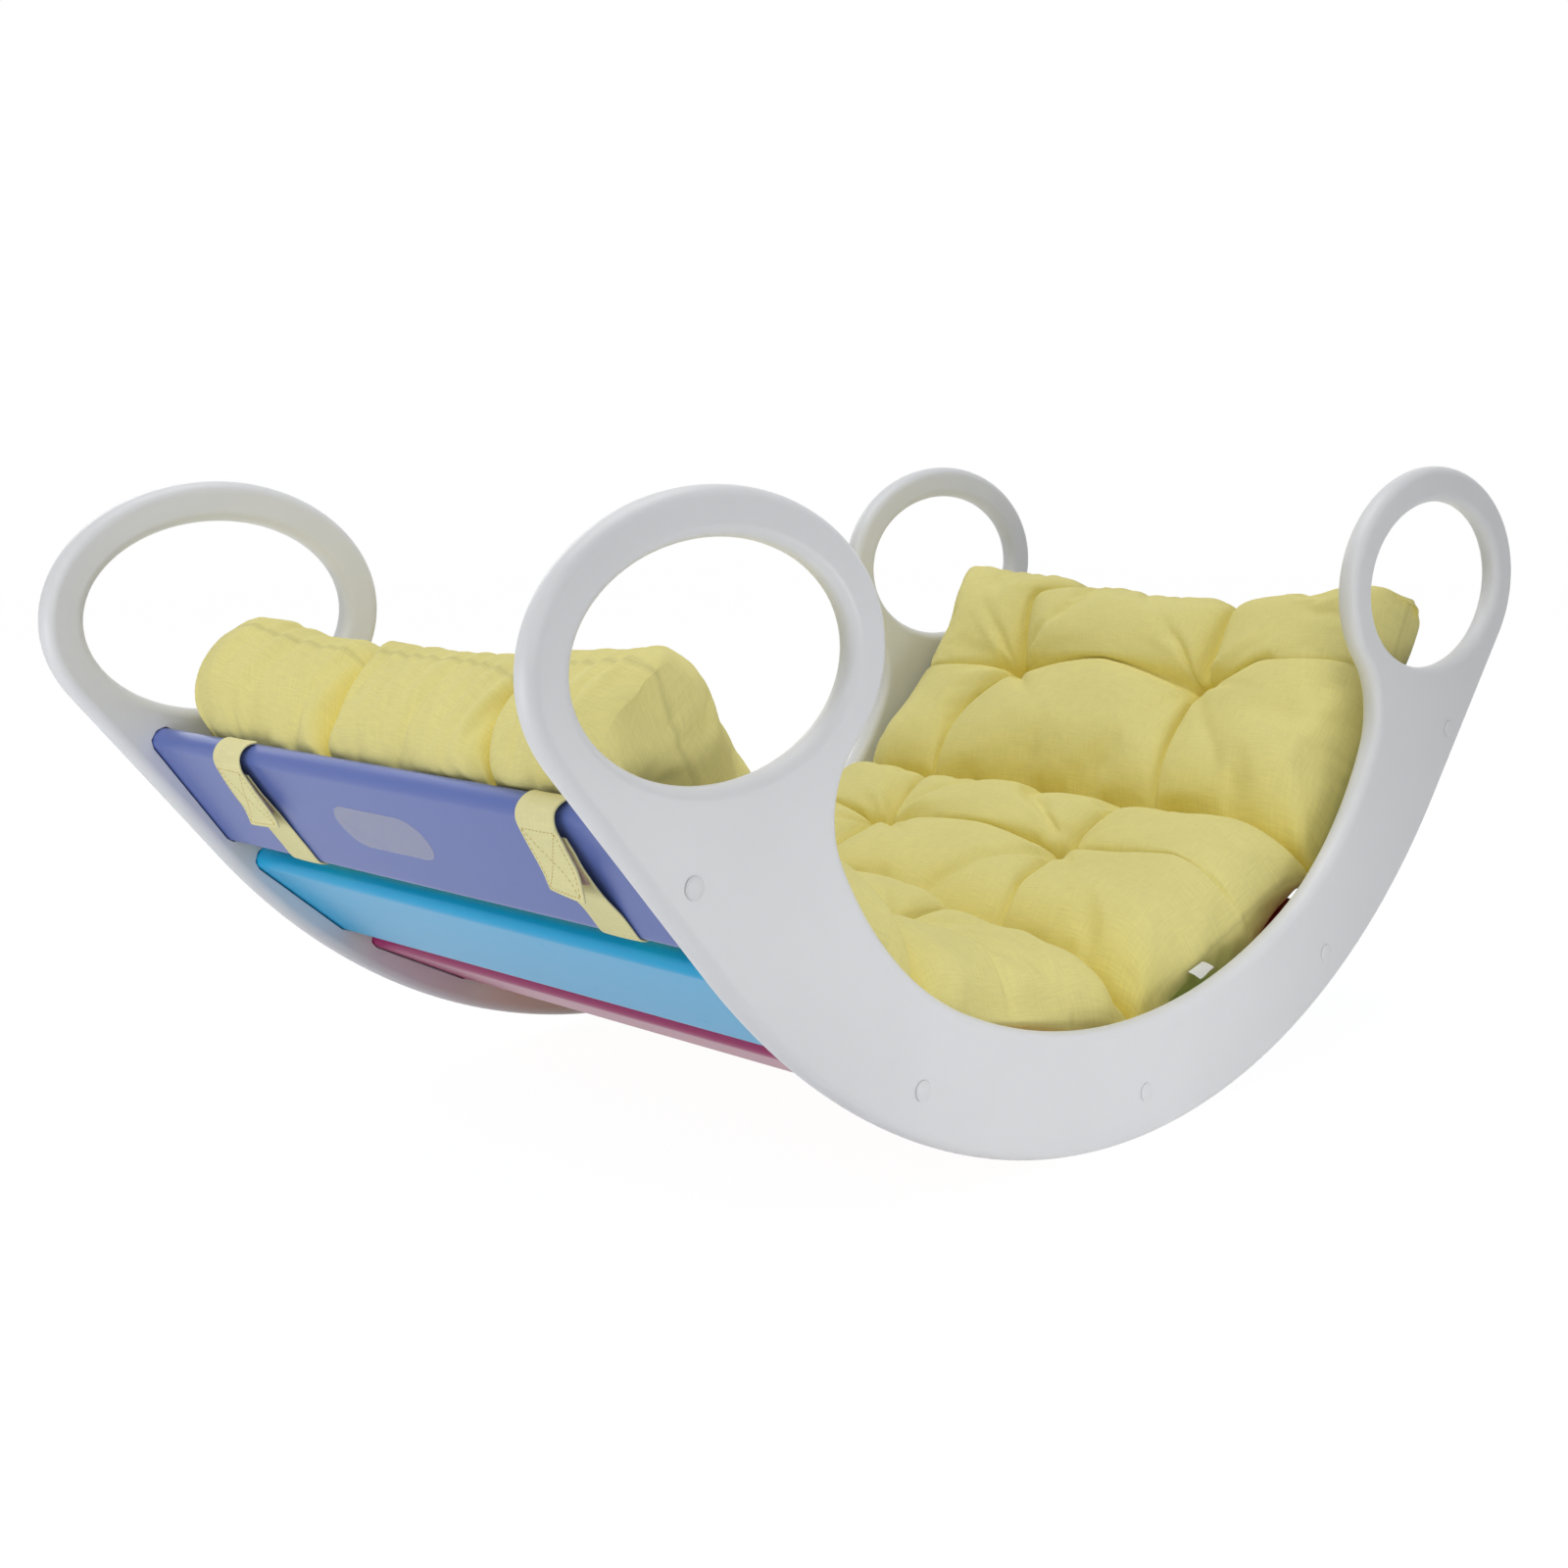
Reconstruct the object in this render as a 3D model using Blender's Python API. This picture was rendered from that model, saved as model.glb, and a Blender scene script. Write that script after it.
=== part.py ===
"""A rocking climbing arch: two ringed side boards, slats between them, and a tufted mattress.

Metres, +Z up. X runs along the arch and Y across it, from the front board to the rear one.
The origin is on the floor, under the middle of the arch. Angles round the slat arc are measured
from straight down, positive towards +X.
"""
import math

import bmesh
import bpy
from mathutils import Matrix, Vector

# Boards
BOARD = 0.018                  # thickness of the side boards and of the slats
BOARD_ROUND = 0.008            # round-over along a side board's outline and its hand holes
CLEAR_WIDTH = 0.518            # between the two side boards

# Outline of a side board, measured from the middle point between its two hand rings
RING_SPACING = 0.820           # ring centre to ring centre
RING_HALF_LENGTH = 0.137
RING_HALF_HEIGHT = 0.098
HOLE_HALF_LENGTH = 0.1065
HOLE_HALF_HEIGHT = 0.069
ROCKER_RADIUS = 0.544          # the rocking edge
ROCKER_DROP = 0.377            # ring centres down to the rocking edge
SEAT_DROP = 0.289              # ring centres down to the lowest point of the seat cut-out
SEAT_RADIUS = 0.458            # the cut-out's bottom, over SEAT_HALF_ANGLE to each side
SEAT_HALF_ANGLE = math.radians(25)
SEAT_SIDE_RADIUS = 0.246       # the cut-out's sides
NECK_RADIUS = 0.061            # the cut-out's top corners, running into the rings

# Slats
SLAT_WIDTH = 0.107
SLAT_SPACE = 0.020             # free space between two slats
SLAT_ROUND = 0.008             # round-over along a slat's long edges
ROCKER_MARGIN = 0.026          # lowest slat's outer face to the rocking edge
ARM_MARGIN = 0.0135            # slats' outer faces to the straight outer edge of the board's arms
HAND_MARGIN = 0.004            # top slat's upper edge stays this far under the hand holes
POCKET_DEPTH = 0.006           # the slats' ends sit this deep in the side boards
POCKET_GAP = 0.0006            # all round a slat's end

# One-piece connector screws and their cover caps
SCREW_RADIUS = 0.0034
SCREW_LENGTH = 0.050
SCREW_POINT = 0.004
HEAD_RADIUS = 0.0049
HEAD_HEIGHT = 0.003
CAP_RADIUS = 0.007
CAP_HEIGHT = 0.0018
CAP_RIM = 0.0008
CAP_STEM = 0.0025

# Mattress of four sewn pads
PAD_SIDE_GAP = 0.014           # mattress to side board
SEAT_PAD_LENGTH = 0.2705       # each of the two middle pads, along the slats
MATTRESS_SLIDE = 0.038         # the middle seam lies this far towards +X
MATTRESS_OVERHANG = 0.058      # corners of the free ends, beyond the top slat's upper edge
PAD_CROWN = 0.118              # highest part of a pad above the slats
FOLD_SEAM = 0.016              # height of the seam between two pads
SIDE_SEAM = 0.044              # height of the seam along the mattress's sides
SIDE_BELLY = 0.35              # where a side is fullest, as a share of its seam's height
END_SEAM = 0.050               # height of the seam across the mattress's ends
PAD_REACH = 0.072              # a pad gains its height over this distance from its folds and ends
SIDE_REACH = 0.052             # and over this distance from its sides
PAD_UNDERCUT = 0.024           # the underside's outer edges lie this far inside the seam
SIDE_DRAW = 0.007              # sides drawn in between two corners
END_DRAW = 0.030               # free ends drawn in between their corners
END_SWELL = 0.010              # free ends swell out under their seam
END_CORNER = 0.014             # free corners rounded off
TUFT_SPACING = 0.210           # a pad's two tufts, across the arch
END_TUFT_DEPTH = 0.064
SEAT_TUFT_DEPTH = 0.046
TUFT_REACH = 0.018
CREASE_DEPTH = 0.014
CREASE_REACH = 0.016

# Straps that tie the mattress to the top slats, in closed hook-and-loop flaps
STRAP_WIDTH = 0.036
STRAP_SPACING = 0.340
STRAP_SHIFT = -0.017           # the pair of straps sits this far towards the front board
STRAP_THICKNESS = 0.0020       # doubled cloth
TAIL_THICKNESS = 0.0015
TAPE_THICKNESS = 0.0010
HOOK_WIDTH = 0.032
FOLD_DROP = 0.006              # the flap's fold lies this far below the slat's upper round-over
FOLD_GAP = 0.0011              # from the strap's fixed end to the flap's rounded end
FLAP_LENGTH = 0.048
FLAP_HEM = 0.004               # flap's end to the hook tape
HOOK_LENGTH = 0.032
TAIL_REACH = 0.026             # the tail's end, above the slat's middle line
LOOP_LENGTH = 0.034            # the tail's loop patch, up to its end

# Care tag in a seat pad's side seam
TAG_LENGTH = 0.020
TAG_WIDTH = 0.011
TAG_THICKNESS = 0.0006
TAG_PLACE = -0.33              # from the pad's middle, as a share of its half length

# Clearances and fineness
TOUCH = 0.0003                 # between pieces that lie against each other
CHORD_SAG = 0.0003             # how far a facet may leave a round outline
ROUND_SEGMENTS = 2             # in a quarter of a round-over
TURNED_SEGMENTS = 12
PAD_ROWS = 16                  # along the slats
PAD_COLUMNS = 24               # across the arch
ON_RIM = 0.999                 # a share of a pad's half size from which a point lies on its seam

WHITE = (0.86, 0.87, 0.88)
LEMON = (0.84, 0.78, 0.36)
SLAT_COLOURS = [
    (0.112, 0.130, 0.430),     # violet blue
    (0.035, 0.340, 0.700),     # sky blue
    (0.420, 0.028, 0.160),     # magenta
    (0.800, 0.190, 0.020),     # orange
    (0.800, 0.560, 0.020),     # yellow
    (0.090, 0.400, 0.060),     # green
    (0.360, 0.010, 0.012),     # red
    (0.035, 0.340, 0.700),     # sky blue
    (0.112, 0.130, 0.430),     # violet blue
]


def crossing(function, low, high):
    """Where a function that changes sign once between low and high is zero."""
    rising = function(high) > function(low)
    for _ in range(50):
        middle = (low + high) / 2
        if (function(middle) < 0) == rising:
            low = middle
        else:
            high = middle
    return (low + high) / 2


def from_below(angle):
    """Unit vector at an angle measured from straight down."""
    return Vector((math.sin(angle), -math.cos(angle)))


def arc(centre, radius, start, end):
    """Points on a circle from one angle to another, a whole odd number of facets apart."""
    step = 2 * math.acos(1 - CHORD_SAG / radius)
    facets = math.ceil(abs(end - start) / step) // 2 * 2 + 1
    return [centre + radius * from_below(start + (end - start) * i / facets) for i in range(facets + 1)]


def ring_point(angle, half_length, half_height, grow=0.0):
    """Point of an ellipse about the origin, moved out along its normal by grow."""
    normal = Vector((math.cos(angle) / half_length, math.sin(angle) / half_height)).normalized()
    return Vector((half_length * math.cos(angle), half_height * math.sin(angle))) + grow * normal


def ring_step(half_height):
    """Angle between neighbouring points of a ring, so that facets lie level at its top and bottom."""
    facets = 2 * math.pi / (2 * math.acos(1 - CHORD_SAG / half_height))
    return 2 * math.pi / (math.ceil(facets / 4) * 4)


def ring_arc(start, end):
    """Points on the right ring's outer ellipse, both ends included."""
    step = ring_step(RING_HALF_HEIGHT)
    angles = [start]
    angle = (math.floor(start / step) + 0.5) * step
    while angle < end - 0.4 * step:
        if angle > start + 0.4 * step:
            angles.append(angle)
        angle += step
    angles.append(end)
    return [RIGHT_RING + ring_point(a, RING_HALF_LENGTH, RING_HALF_HEIGHT) for a in angles]


# Layout of the side board's outline, with its ring centres at height 0
RIGHT_RING = Vector((RING_SPACING / 2, 0))
ROCKER_CENTRE = Vector((0, ROCKER_RADIUS - ROCKER_DROP))


def arm_lean(angle):
    """Ring's reach minus the rocking arc's reach, both at right angles to an arm at this slope."""
    out = from_below(angle)
    ring_reach = math.hypot(RING_HALF_LENGTH * out.x, RING_HALF_HEIGHT * out.y)
    return RIGHT_RING.dot(out) + ring_reach - (ROCKER_CENTRE.dot(out) + ROCKER_RADIUS)


ARM_ANGLE = crossing(arm_lean, math.radians(20), math.radians(85))


def board_outline():
    """Closed outline of a side board, anticlockwise from the left end of its rocking edge."""
    seat_centre = Vector((0, SEAT_RADIUS - SEAT_DROP))
    side_centre = seat_centre + (SEAT_RADIUS - SEAT_SIDE_RADIUS) * from_below(SEAT_HALF_ANGLE)

    def neck_gap(angle):
        neck = RIGHT_RING + ring_point(angle, RING_HALF_LENGTH, RING_HALF_HEIGHT, NECK_RADIUS)
        return (neck - side_centre).length - (SEAT_SIDE_RADIUS - NECK_RADIUS)

    neck_angle = crossing(neck_gap, math.pi, 1.5 * math.pi)
    neck_centre = RIGHT_RING + ring_point(neck_angle, RING_HALF_LENGTH, RING_HALF_HEIGHT, NECK_RADIUS)
    to_ring = RIGHT_RING + ring_point(neck_angle, RING_HALF_LENGTH, RING_HALF_HEIGHT) - neck_centre
    to_side = neck_centre - side_centre
    neck_start = math.atan2(to_ring.x, -to_ring.y) % (2 * math.pi)
    neck_end = math.atan2(to_side.x, -to_side.y)
    arm_end = math.atan2(-RING_HALF_HEIGHT * math.cos(ARM_ANGLE), RING_HALF_LENGTH * math.sin(ARM_ANGLE))

    rocker = arc(ROCKER_CENTRE, ROCKER_RADIUS, -ARM_ANGLE, ARM_ANGLE)
    right = ring_arc(arm_end, neck_angle)
    right += arc(neck_centre, NECK_RADIUS, neck_start, neck_end)[1:]
    right += arc(side_centre, SEAT_SIDE_RADIUS, neck_end, SEAT_HALF_ANGLE)[1:]
    seat = arc(seat_centre, SEAT_RADIUS, SEAT_HALF_ANGLE, -SEAT_HALF_ANGLE)[1:-1]
    left = [Vector((-point.x, point.y)) for point in reversed(right)]
    return rocker + right + seat + left


OUTLINE = board_outline()
FLOOR = Vector((0, -min(point.y for point in OUTLINE)))     # lifts the layout onto the floor

# Layout of the slat arc: its lowest slat and its arms keep the two named margins to the outline
ARM_OUT = from_below(ARM_ANGLE)
ARM_EDGE = ROCKER_CENTRE.dot(ARM_OUT) + ROCKER_RADIUS
LOWEST_SLAT = ROCKER_DROP - ROCKER_MARGIN - BOARD / 2
SLAT_ARC_RADIUS = (ARM_EDGE - ARM_MARGIN - BOARD / 2 + LOWEST_SLAT * ARM_OUT.y) / (1 + ARM_OUT.y)
SLAT_ARC_CENTRE = FLOOR + Vector((0, SLAT_ARC_RADIUS - LOWEST_SLAT))
SLAT_PITCH = 2 * math.atan((SLAT_WIDTH + SLAT_SPACE) / (2 * SLAT_ARC_RADIUS))
SLAT_HALF_ANGLE = math.atan(SLAT_WIDTH / (2 * SLAT_ARC_RADIUS))
PAD_BASE_RADIUS = SLAT_ARC_RADIUS - BOARD / 2 - TOUCH


def slat_top(steps):
    """Height of the upper edge of the slat that lies this many steps from the lowest one."""
    angle = steps * SLAT_PITCH
    middle = SLAT_ARC_CENTRE + SLAT_ARC_RADIUS * from_below(angle)
    return middle.y + SLAT_WIDTH / 2 * math.sin(angle)


SIDE_SLATS = 1
while slat_top(SIDE_SLATS + 1) < FLOOR.y - HOLE_HALF_HEIGHT - HAND_MARGIN:
    SIDE_SLATS += 1
END_ANGLE = SIDE_SLATS * SLAT_PITCH
FASTENED = [k for k in range(-SIDE_SLATS, SIDE_SLATS + 1) if (SIDE_SLATS - abs(k)) % 2 == 0]


def material(name, colour, roughness, metallic=0.0):
    made = bpy.data.materials.new(name)
    made.use_nodes = True
    shader = made.node_tree.nodes["Principled BSDF"]
    shader.inputs["Base Color"].default_value = (*colour, 1)
    shader.inputs["Roughness"].default_value = roughness
    shader.inputs["Metallic"].default_value = metallic
    return made


def finished(name, bm, finish):
    """Turns a bmesh into a mesh with its material, shaded smooth where it is round."""
    bmesh.ops.recalc_face_normals(bm, faces=bm.faces)
    mesh = bpy.data.meshes.new(name)
    bm.to_mesh(mesh)
    bm.free()
    mesh.shade_smooth()
    mesh.set_sharp_from_angle(angle=math.radians(35))
    mesh.materials.append(finish)
    return mesh


def put(name, mesh, place=Matrix(), parent=None):
    """Adds an object that shows a mesh at a place, given relative to its parent."""
    made = bpy.data.objects.new(name, mesh)
    made.parent = parent
    made.matrix_local = place
    bpy.context.collection.objects.link(made)
    return made


def put_cutter(name, mesh, places):
    """Adds one hidden guide that holds a copy of a mesh at each place, to cut others with."""
    bm = bmesh.new()
    for place in places:
        copy = mesh.copy()
        copy.transform(place)
        bm.from_mesh(copy)
        bpy.data.meshes.remove(copy)
    cutter = put(name, finished(name, bm, material(name, WHITE, 0.5)))
    cutter.hide_render = True
    cutter.display_type = "WIRE"
    return cutter


def cut(target, cutter):
    modifier = target.modifiers.new(cutter.name, "BOOLEAN")
    modifier.operation = "DIFFERENCE"
    modifier.object = cutter


def bar(width, length, thickness, rounding):
    """A flat bar along Y with rounded long edges."""
    outline = []
    for corner in range(4):
        flat = Vector((width / 2 - rounding, thickness / 2 - rounding))
        if corner in (1, 2):
            flat.x = -flat.x
        if corner in (2, 3):
            flat.y = -flat.y
        for i in range(ROUND_SEGMENTS + 1):
            angle = math.pi / 2 * (corner + i / ROUND_SEGMENTS)
            outline.append(flat + rounding * Vector((math.cos(angle), math.sin(angle))))
    return extruded(outline, length)


def extruded(outline, length):
    """An outline in X and Z, given its length along Y about the middle."""
    bm = bmesh.new()
    face = bm.faces.new([bm.verts.new((point.x, -length / 2, point.y)) for point in outline])
    grown = bmesh.ops.extrude_face_region(bm, geom=[face])["geom"]
    verts = [item for item in grown if isinstance(item, bmesh.types.BMVert)]
    bmesh.ops.translate(bm, verts=verts, vec=(0, length, 0))
    return bm


def turned(profile):
    """A turned piece from (radius, height) points that start and end on its axis."""
    bm = bmesh.new()
    verts = [bm.verts.new((radius, 0, height)) for radius, height in profile]
    edges = [bm.edges.new(pair) for pair in zip(verts, verts[1:])]
    bmesh.ops.spin(
        bm, geom=verts + edges, cent=(0, 0, 0), axis=(0, 0, 1), angle=2 * math.pi,
        steps=TURNED_SEGMENTS, use_merge=True,
    )
    bmesh.ops.remove_doubles(bm, verts=bm.verts, dist=1e-6)
    return bm


def hand_hole(side):
    """Outline of the hand hole of the ring on this side."""
    step = ring_step(HOLE_HALF_HEIGHT)
    centre = Vector((side * RIGHT_RING.x, 0))
    angles = [(k + 0.5) * step for k in range(round(2 * math.pi / step))]
    return [centre + ring_point(a, HOLE_HALF_LENGTH, HOLE_HALF_HEIGHT) for a in angles]


def side_board_mesh():
    """A plate standing along X, filled between its outlines, with round-overs along all of them."""
    curve = bpy.data.curves.new("side_board", "CURVE")
    curve.dimensions = "2D"
    curve.fill_mode = "BOTH"
    for outline in (OUTLINE, hand_hole(1), hand_hole(-1)):
        spline = curve.splines.new("POLY")
        spline.points.add(len(outline) - 1)
        for target, point in zip(spline.points, outline):
            lifted = point + FLOOR
            target.co = (lifted.x, lifted.y, 0, 1)
        spline.use_cyclic_u = True
    curve.extrude = BOARD / 2 - BOARD_ROUND
    curve.bevel_depth = BOARD_ROUND
    curve.bevel_resolution = ROUND_SEGMENTS - 1
    curve.offset = -BOARD_ROUND
    pattern = put("side_board", curve)
    depsgraph = bpy.context.evaluated_depsgraph_get()
    filled = bpy.data.meshes.new_from_object(pattern.evaluated_get(depsgraph))
    bpy.data.objects.remove(pattern)
    bm = bmesh.new()
    bm.from_mesh(filled)
    bmesh.ops.remove_doubles(bm, verts=bm.verts, dist=1e-5)
    bmesh.ops.rotate(bm, verts=bm.verts, matrix=Matrix.Rotation(math.pi / 2, 3, "X"))
    return finished("side_board", bm, material("side_board", WHITE, 0.32))


def slat_place(k):
    """Where the slat lies that is k steps from the lowest one."""
    middle = SLAT_ARC_CENTRE + SLAT_ARC_RADIUS * from_below(k * SLAT_PITCH)
    return Matrix.Translation((middle.x, 0, middle.y)) @ Matrix.Rotation(-k * SLAT_PITCH, 4, "Y")


def screw_place(k, y_side):
    """On the outer face of a side board, at a slat's middle, with +Z pointing out of the board."""
    outer = slat_place(k).translation + Vector((0, y_side * (CLEAR_WIDTH / 2 + BOARD), 0))
    return Matrix.Translation(outer) @ Matrix.Rotation(-y_side * math.pi / 2, 4, "X")


HEAD_TOP = -CAP_STEM - TOUCH
SCREW_PROFILE = [
    (0, HEAD_TOP),
    (HEAD_RADIUS, HEAD_TOP),
    (HEAD_RADIUS, HEAD_TOP - HEAD_HEIGHT),
    (SCREW_RADIUS, HEAD_TOP - HEAD_HEIGHT),
    (SCREW_RADIUS, HEAD_TOP - SCREW_LENGTH + SCREW_POINT),
    (0, HEAD_TOP - SCREW_LENGTH),
]
SCREW_WAY_PROFILE = [
    (0, BOARD),
    (HEAD_RADIUS + TOUCH, BOARD),
    (HEAD_RADIUS + TOUCH, HEAD_TOP - HEAD_HEIGHT - TOUCH),
    (SCREW_RADIUS + TOUCH, HEAD_TOP - HEAD_HEIGHT - TOUCH),
    (SCREW_RADIUS + TOUCH, HEAD_TOP - SCREW_LENGTH - TOUCH),
    (0, HEAD_TOP - SCREW_LENGTH - TOUCH),
]
CAP_PROFILE = [
    (0, CAP_HEIGHT),
    (0.6 * CAP_RADIUS, CAP_RIM + 0.8 * (CAP_HEIGHT - CAP_RIM)),
    (CAP_RADIUS, CAP_RIM),
    (CAP_RADIUS, TOUCH),
    (HEAD_RADIUS, TOUCH),
    (HEAD_RADIUS, -CAP_STEM),
    (0, -CAP_STEM),
]


def rise(distance, reach):
    """How a stuffed pad gains height from a seam: steep at the seam and level at its reach."""
    share = min(max(distance / reach, 0), 1)
    return (1 - (1 - share) ** 2.4) ** (1 / 2.4)


def bump(distance, reach):
    return math.exp(-((distance / reach) ** 2))


def pad_half_width(u):
    """Half the mattress's width at a share u of a pad's half length: drawn in between corners."""
    return CLEAR_WIDTH / 2 - PAD_SIDE_GAP - SIDE_DRAW * (1 - u * u)


def on_slats(angle, height, y):
    """A point over the slats' inner faces, at a height along the arc's radius."""
    spot = SLAT_ARC_CENTRE + (PAD_BASE_RADIUS - height) * from_below(angle)
    return Vector((spot.x, y, spot.y))


def mattress_pad(name, start, end, free_end):
    """A stuffed pad between two angles, with two tufts that pull it into six pillows.

    free_end is -1 or 1 where that side is an end of the mattress, and 0 between two pads.
    """
    half_length = (end - start) / 2 * PAD_BASE_RADIUS - TOUCH / 2
    middle = (start + end) / 2
    tuft_depth = END_TUFT_DEPTH if free_end else SEAT_TUFT_DEPTH
    tuft_y = TUFT_SPACING / 2

    def seam_height(u, v):
        cross = END_SEAM if u * free_end > 0 else FOLD_SEAM
        if abs(v) < ON_RIM:
            return cross
        return cross + (SIDE_SEAM - cross) * (1 - u * u)

    def top_height(u, v):
        along = abs(u) * half_length
        across = abs(v) * pad_half_width(u)
        fullness = rise(half_length - along, min(PAD_REACH, half_length))
        fullness *= rise(pad_half_width(u) - across, SIDE_REACH)
        tuft = bump(math.hypot(along, across - tuft_y), TUFT_REACH)
        crease = max(bump(across - tuft_y, CREASE_REACH), bump(along, CREASE_REACH))
        full = PAD_CROWN - tuft_depth * tuft - CREASE_DEPTH * crease * (1 - tuft)
        return FOLD_SEAM + (full - FOLD_SEAM) * fullness

    def place(u, v, level):
        """Level 0 is the top with its seam, 1 the side under the seam and 2 the underside."""
        freedom = max(u * free_end, 0)
        on_seam = max(abs(u), abs(v)) > ON_RIM
        if level == 0:
            height = seam_height(u, v) if on_seam else top_height(u, v)
        else:
            height = (SIDE_BELLY * seam_height(u, v), 0)[level - 1]
        undercut = (0, SIDE_BELLY, 1)[level] * PAD_UNDERCUT
        corner = END_CORNER * (freedom * abs(v)) ** 6
        drawn = END_DRAW * freedom ** 2 * (1 - v * v)
        swollen = END_SWELL * freedom ** 6 if level == 1 else 0
        along = u * (half_length - undercut * freedom ** 6 - corner - drawn + swollen)
        across = v * (pad_half_width(u) - undercut - corner)
        return on_slats(middle + along / PAD_BASE_RADIUS, height, across)

    bm = bmesh.new()
    bmesh.ops.create_grid(bm, x_segments=PAD_ROWS, y_segments=PAD_COLUMNS, size=1)
    rim = [edge for edge in bm.edges if edge.is_boundary]
    for level in (1, 2):
        skirt = bmesh.ops.extrude_edge_only(bm, edges=rim)["geom"]
        for item in skirt:
            if isinstance(item, bmesh.types.BMVert):
                item.co.z = level
        rim = [item for item in skirt if isinstance(item, bmesh.types.BMEdge) and item.is_boundary]
    long_sides = [edge for edge in rim if all(abs(vert.co.y) > ON_RIM for vert in edge.verts)]
    bmesh.ops.bridge_loops(bm, edges=long_sides)
    bmesh.ops.holes_fill(bm, edges=[edge for edge in bm.edges if edge.is_boundary])
    for vert in bm.verts:
        vert.co = place(vert.co.x, vert.co.y, round(vert.co.z))
    bmesh.ops.triangulate(bm, faces=[face for face in bm.faces if len(face.verts) > 4])
    put(name, finished(name, bm, material(name, LEMON, 0.85)))


def care_tag(start, end):
    """A small woven tag that stands out of a pad's front side seam."""
    half_length = (end - start) / 2 * PAD_BASE_RADIUS
    edge = pad_half_width(abs(TAG_PLACE) + TAG_LENGTH / 2 / half_length)
    angle = (start + end) / 2 + TAG_PLACE * half_length / PAD_BASE_RADIUS
    bm = bmesh.new()
    bmesh.ops.create_cube(bm, size=1, matrix=Matrix.Diagonal((TAG_LENGTH, TAG_WIDTH, TAG_THICKNESS, 1)))
    mesh = finished("care_tag", bm, material("care_tag", (0.9, 0.9, 0.88), 0.7))
    seam = FOLD_SEAM + (SIDE_SEAM - FOLD_SEAM) * (1 - TAG_PLACE ** 2)
    middle = on_slats(angle, seam, -edge - TOUCH - TAG_WIDTH / 2)
    put("care_tag", mesh, Matrix.Translation(middle) @ Matrix.Rotation(-angle, 4, "Y"))


def wrap_start(thickness):
    """Angle on a slat's inner round-over where a strap just clears the mattress."""
    outer = SLAT_ROUND + TOUCH + thickness
    corner = Vector((SLAT_WIDTH / 2 - SLAT_ROUND, SLAT_ARC_RADIUS - BOARD / 2 + SLAT_ROUND))

    def clearance(angle):
        spot = corner + outer * Vector((math.cos(angle), -math.sin(angle)))
        return spot.length - (PAD_BASE_RADIUS + TOUCH)

    return crossing(clearance, 0, math.pi / 2)


def wrap(thickness, level):
    """A strap's middle line round a slat's edge, rising to a level over the slat's outer face.

    Its points are (t, n): t from the slat's middle line to the edge, n out from its middle plane.
    """
    corner = Vector((SLAT_WIDTH / 2 - SLAT_ROUND, BOARD / 2 - SLAT_ROUND))
    close = SLAT_ROUND + TOUCH + thickness / 2
    start = wrap_start(thickness)
    steps = 2 * ROUND_SEGMENTS
    path = []
    for i in range(steps):
        angle = -start * (1 - i / steps)
        path.append(Vector((corner.x + close * math.cos(angle), -corner.y + close * math.sin(angle))))
    for i in range(steps + 1):
        angle = math.pi / 2 * i / steps
        away = close + (SLAT_ROUND + level - close) * (i / steps) ** 2
        path.append(corner + Vector((close * math.cos(angle), away * math.sin(angle))))
    return path


def ribbon(path, thickness):
    """Closed outline of a strip of even thickness whose middle line is the path."""
    one_side = []
    other_side = []
    for i, point in enumerate(path):
        ahead = (path[min(i + 1, len(path) - 1)] - path[max(i - 1, 0)]).normalized()
        sideways = Vector((-ahead.y, ahead.x)) * thickness / 2
        one_side.append(point + sideways)
        other_side.append(point - sideways)
    return one_side, other_side


# Levels of a strap's layers over the slat's outer face
LOOP_TOP = TOUCH + TAIL_THICKNESS + TAPE_THICKNESS
HOOK_LEVEL = LOOP_TOP + TOUCH + TAPE_THICKNESS / 2
FLAP_LEVEL = HOOK_LEVEL + TAPE_THICKNESS / 2 + TOUCH + STRAP_THICKNESS / 2
FOLD = Vector((SLAT_WIDTH / 2 - SLAT_ROUND - FOLD_DROP, BOARD / 2 + FLAP_LEVEL))


def root_outline():
    """The fixed part of a strap, from under the mattress over the slat's upper edge."""
    half = STRAP_THICKNESS / 2
    path = wrap(STRAP_THICKNESS, FLAP_LEVEL) + [FOLD + Vector((half + FOLD_GAP, 0))]
    one_side, other_side = ribbon(path, STRAP_THICKNESS)
    return one_side + other_side[::-1]


def flap_outline():
    """The part that opens, with a rounded end about the line where the cloth folds."""
    half = STRAP_THICKNESS / 2
    steps = 2 * ROUND_SEGMENTS
    angles = [math.pi * (i / steps - 0.5) for i in range(steps + 1)]
    end = [FOLD + half * Vector((math.cos(angle), math.sin(angle))) for angle in angles]
    return [FOLD + Vector((-FLAP_LENGTH, -half))] + end + [FOLD + Vector((-FLAP_LENGTH, half))]


def hook_outline():
    low = FOLD.x - FLAP_LENGTH + FLAP_HEM
    bottom = BOARD / 2 + HOOK_LEVEL - TAPE_THICKNESS / 2
    top = bottom + TAPE_THICKNESS
    corners = [(low, bottom), (low + HOOK_LENGTH, bottom), (low + HOOK_LENGTH, top), (low, top)]
    return [Vector(corner) for corner in corners]


def tail_outline():
    """The lower strap, from under the mattress round the slat's lower edge, with its loop patch."""
    path = [Vector((-t, n)) for t, n in wrap(TAIL_THICKNESS, TOUCH + TAIL_THICKNESS / 2)]
    path.append(Vector((TAIL_REACH, path[-1].y)))
    outer, inner = ribbon(path, TAIL_THICKNESS)
    if inner[-1].y > outer[-1].y:
        outer, inner = inner, outer
    end = outer.pop()
    patch = Vector((0, TAPE_THICKNESS))
    low = end - Vector((LOOP_LENGTH, 0))
    return outer + [low, low + patch, end + patch, end] + inner[::-1]


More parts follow.
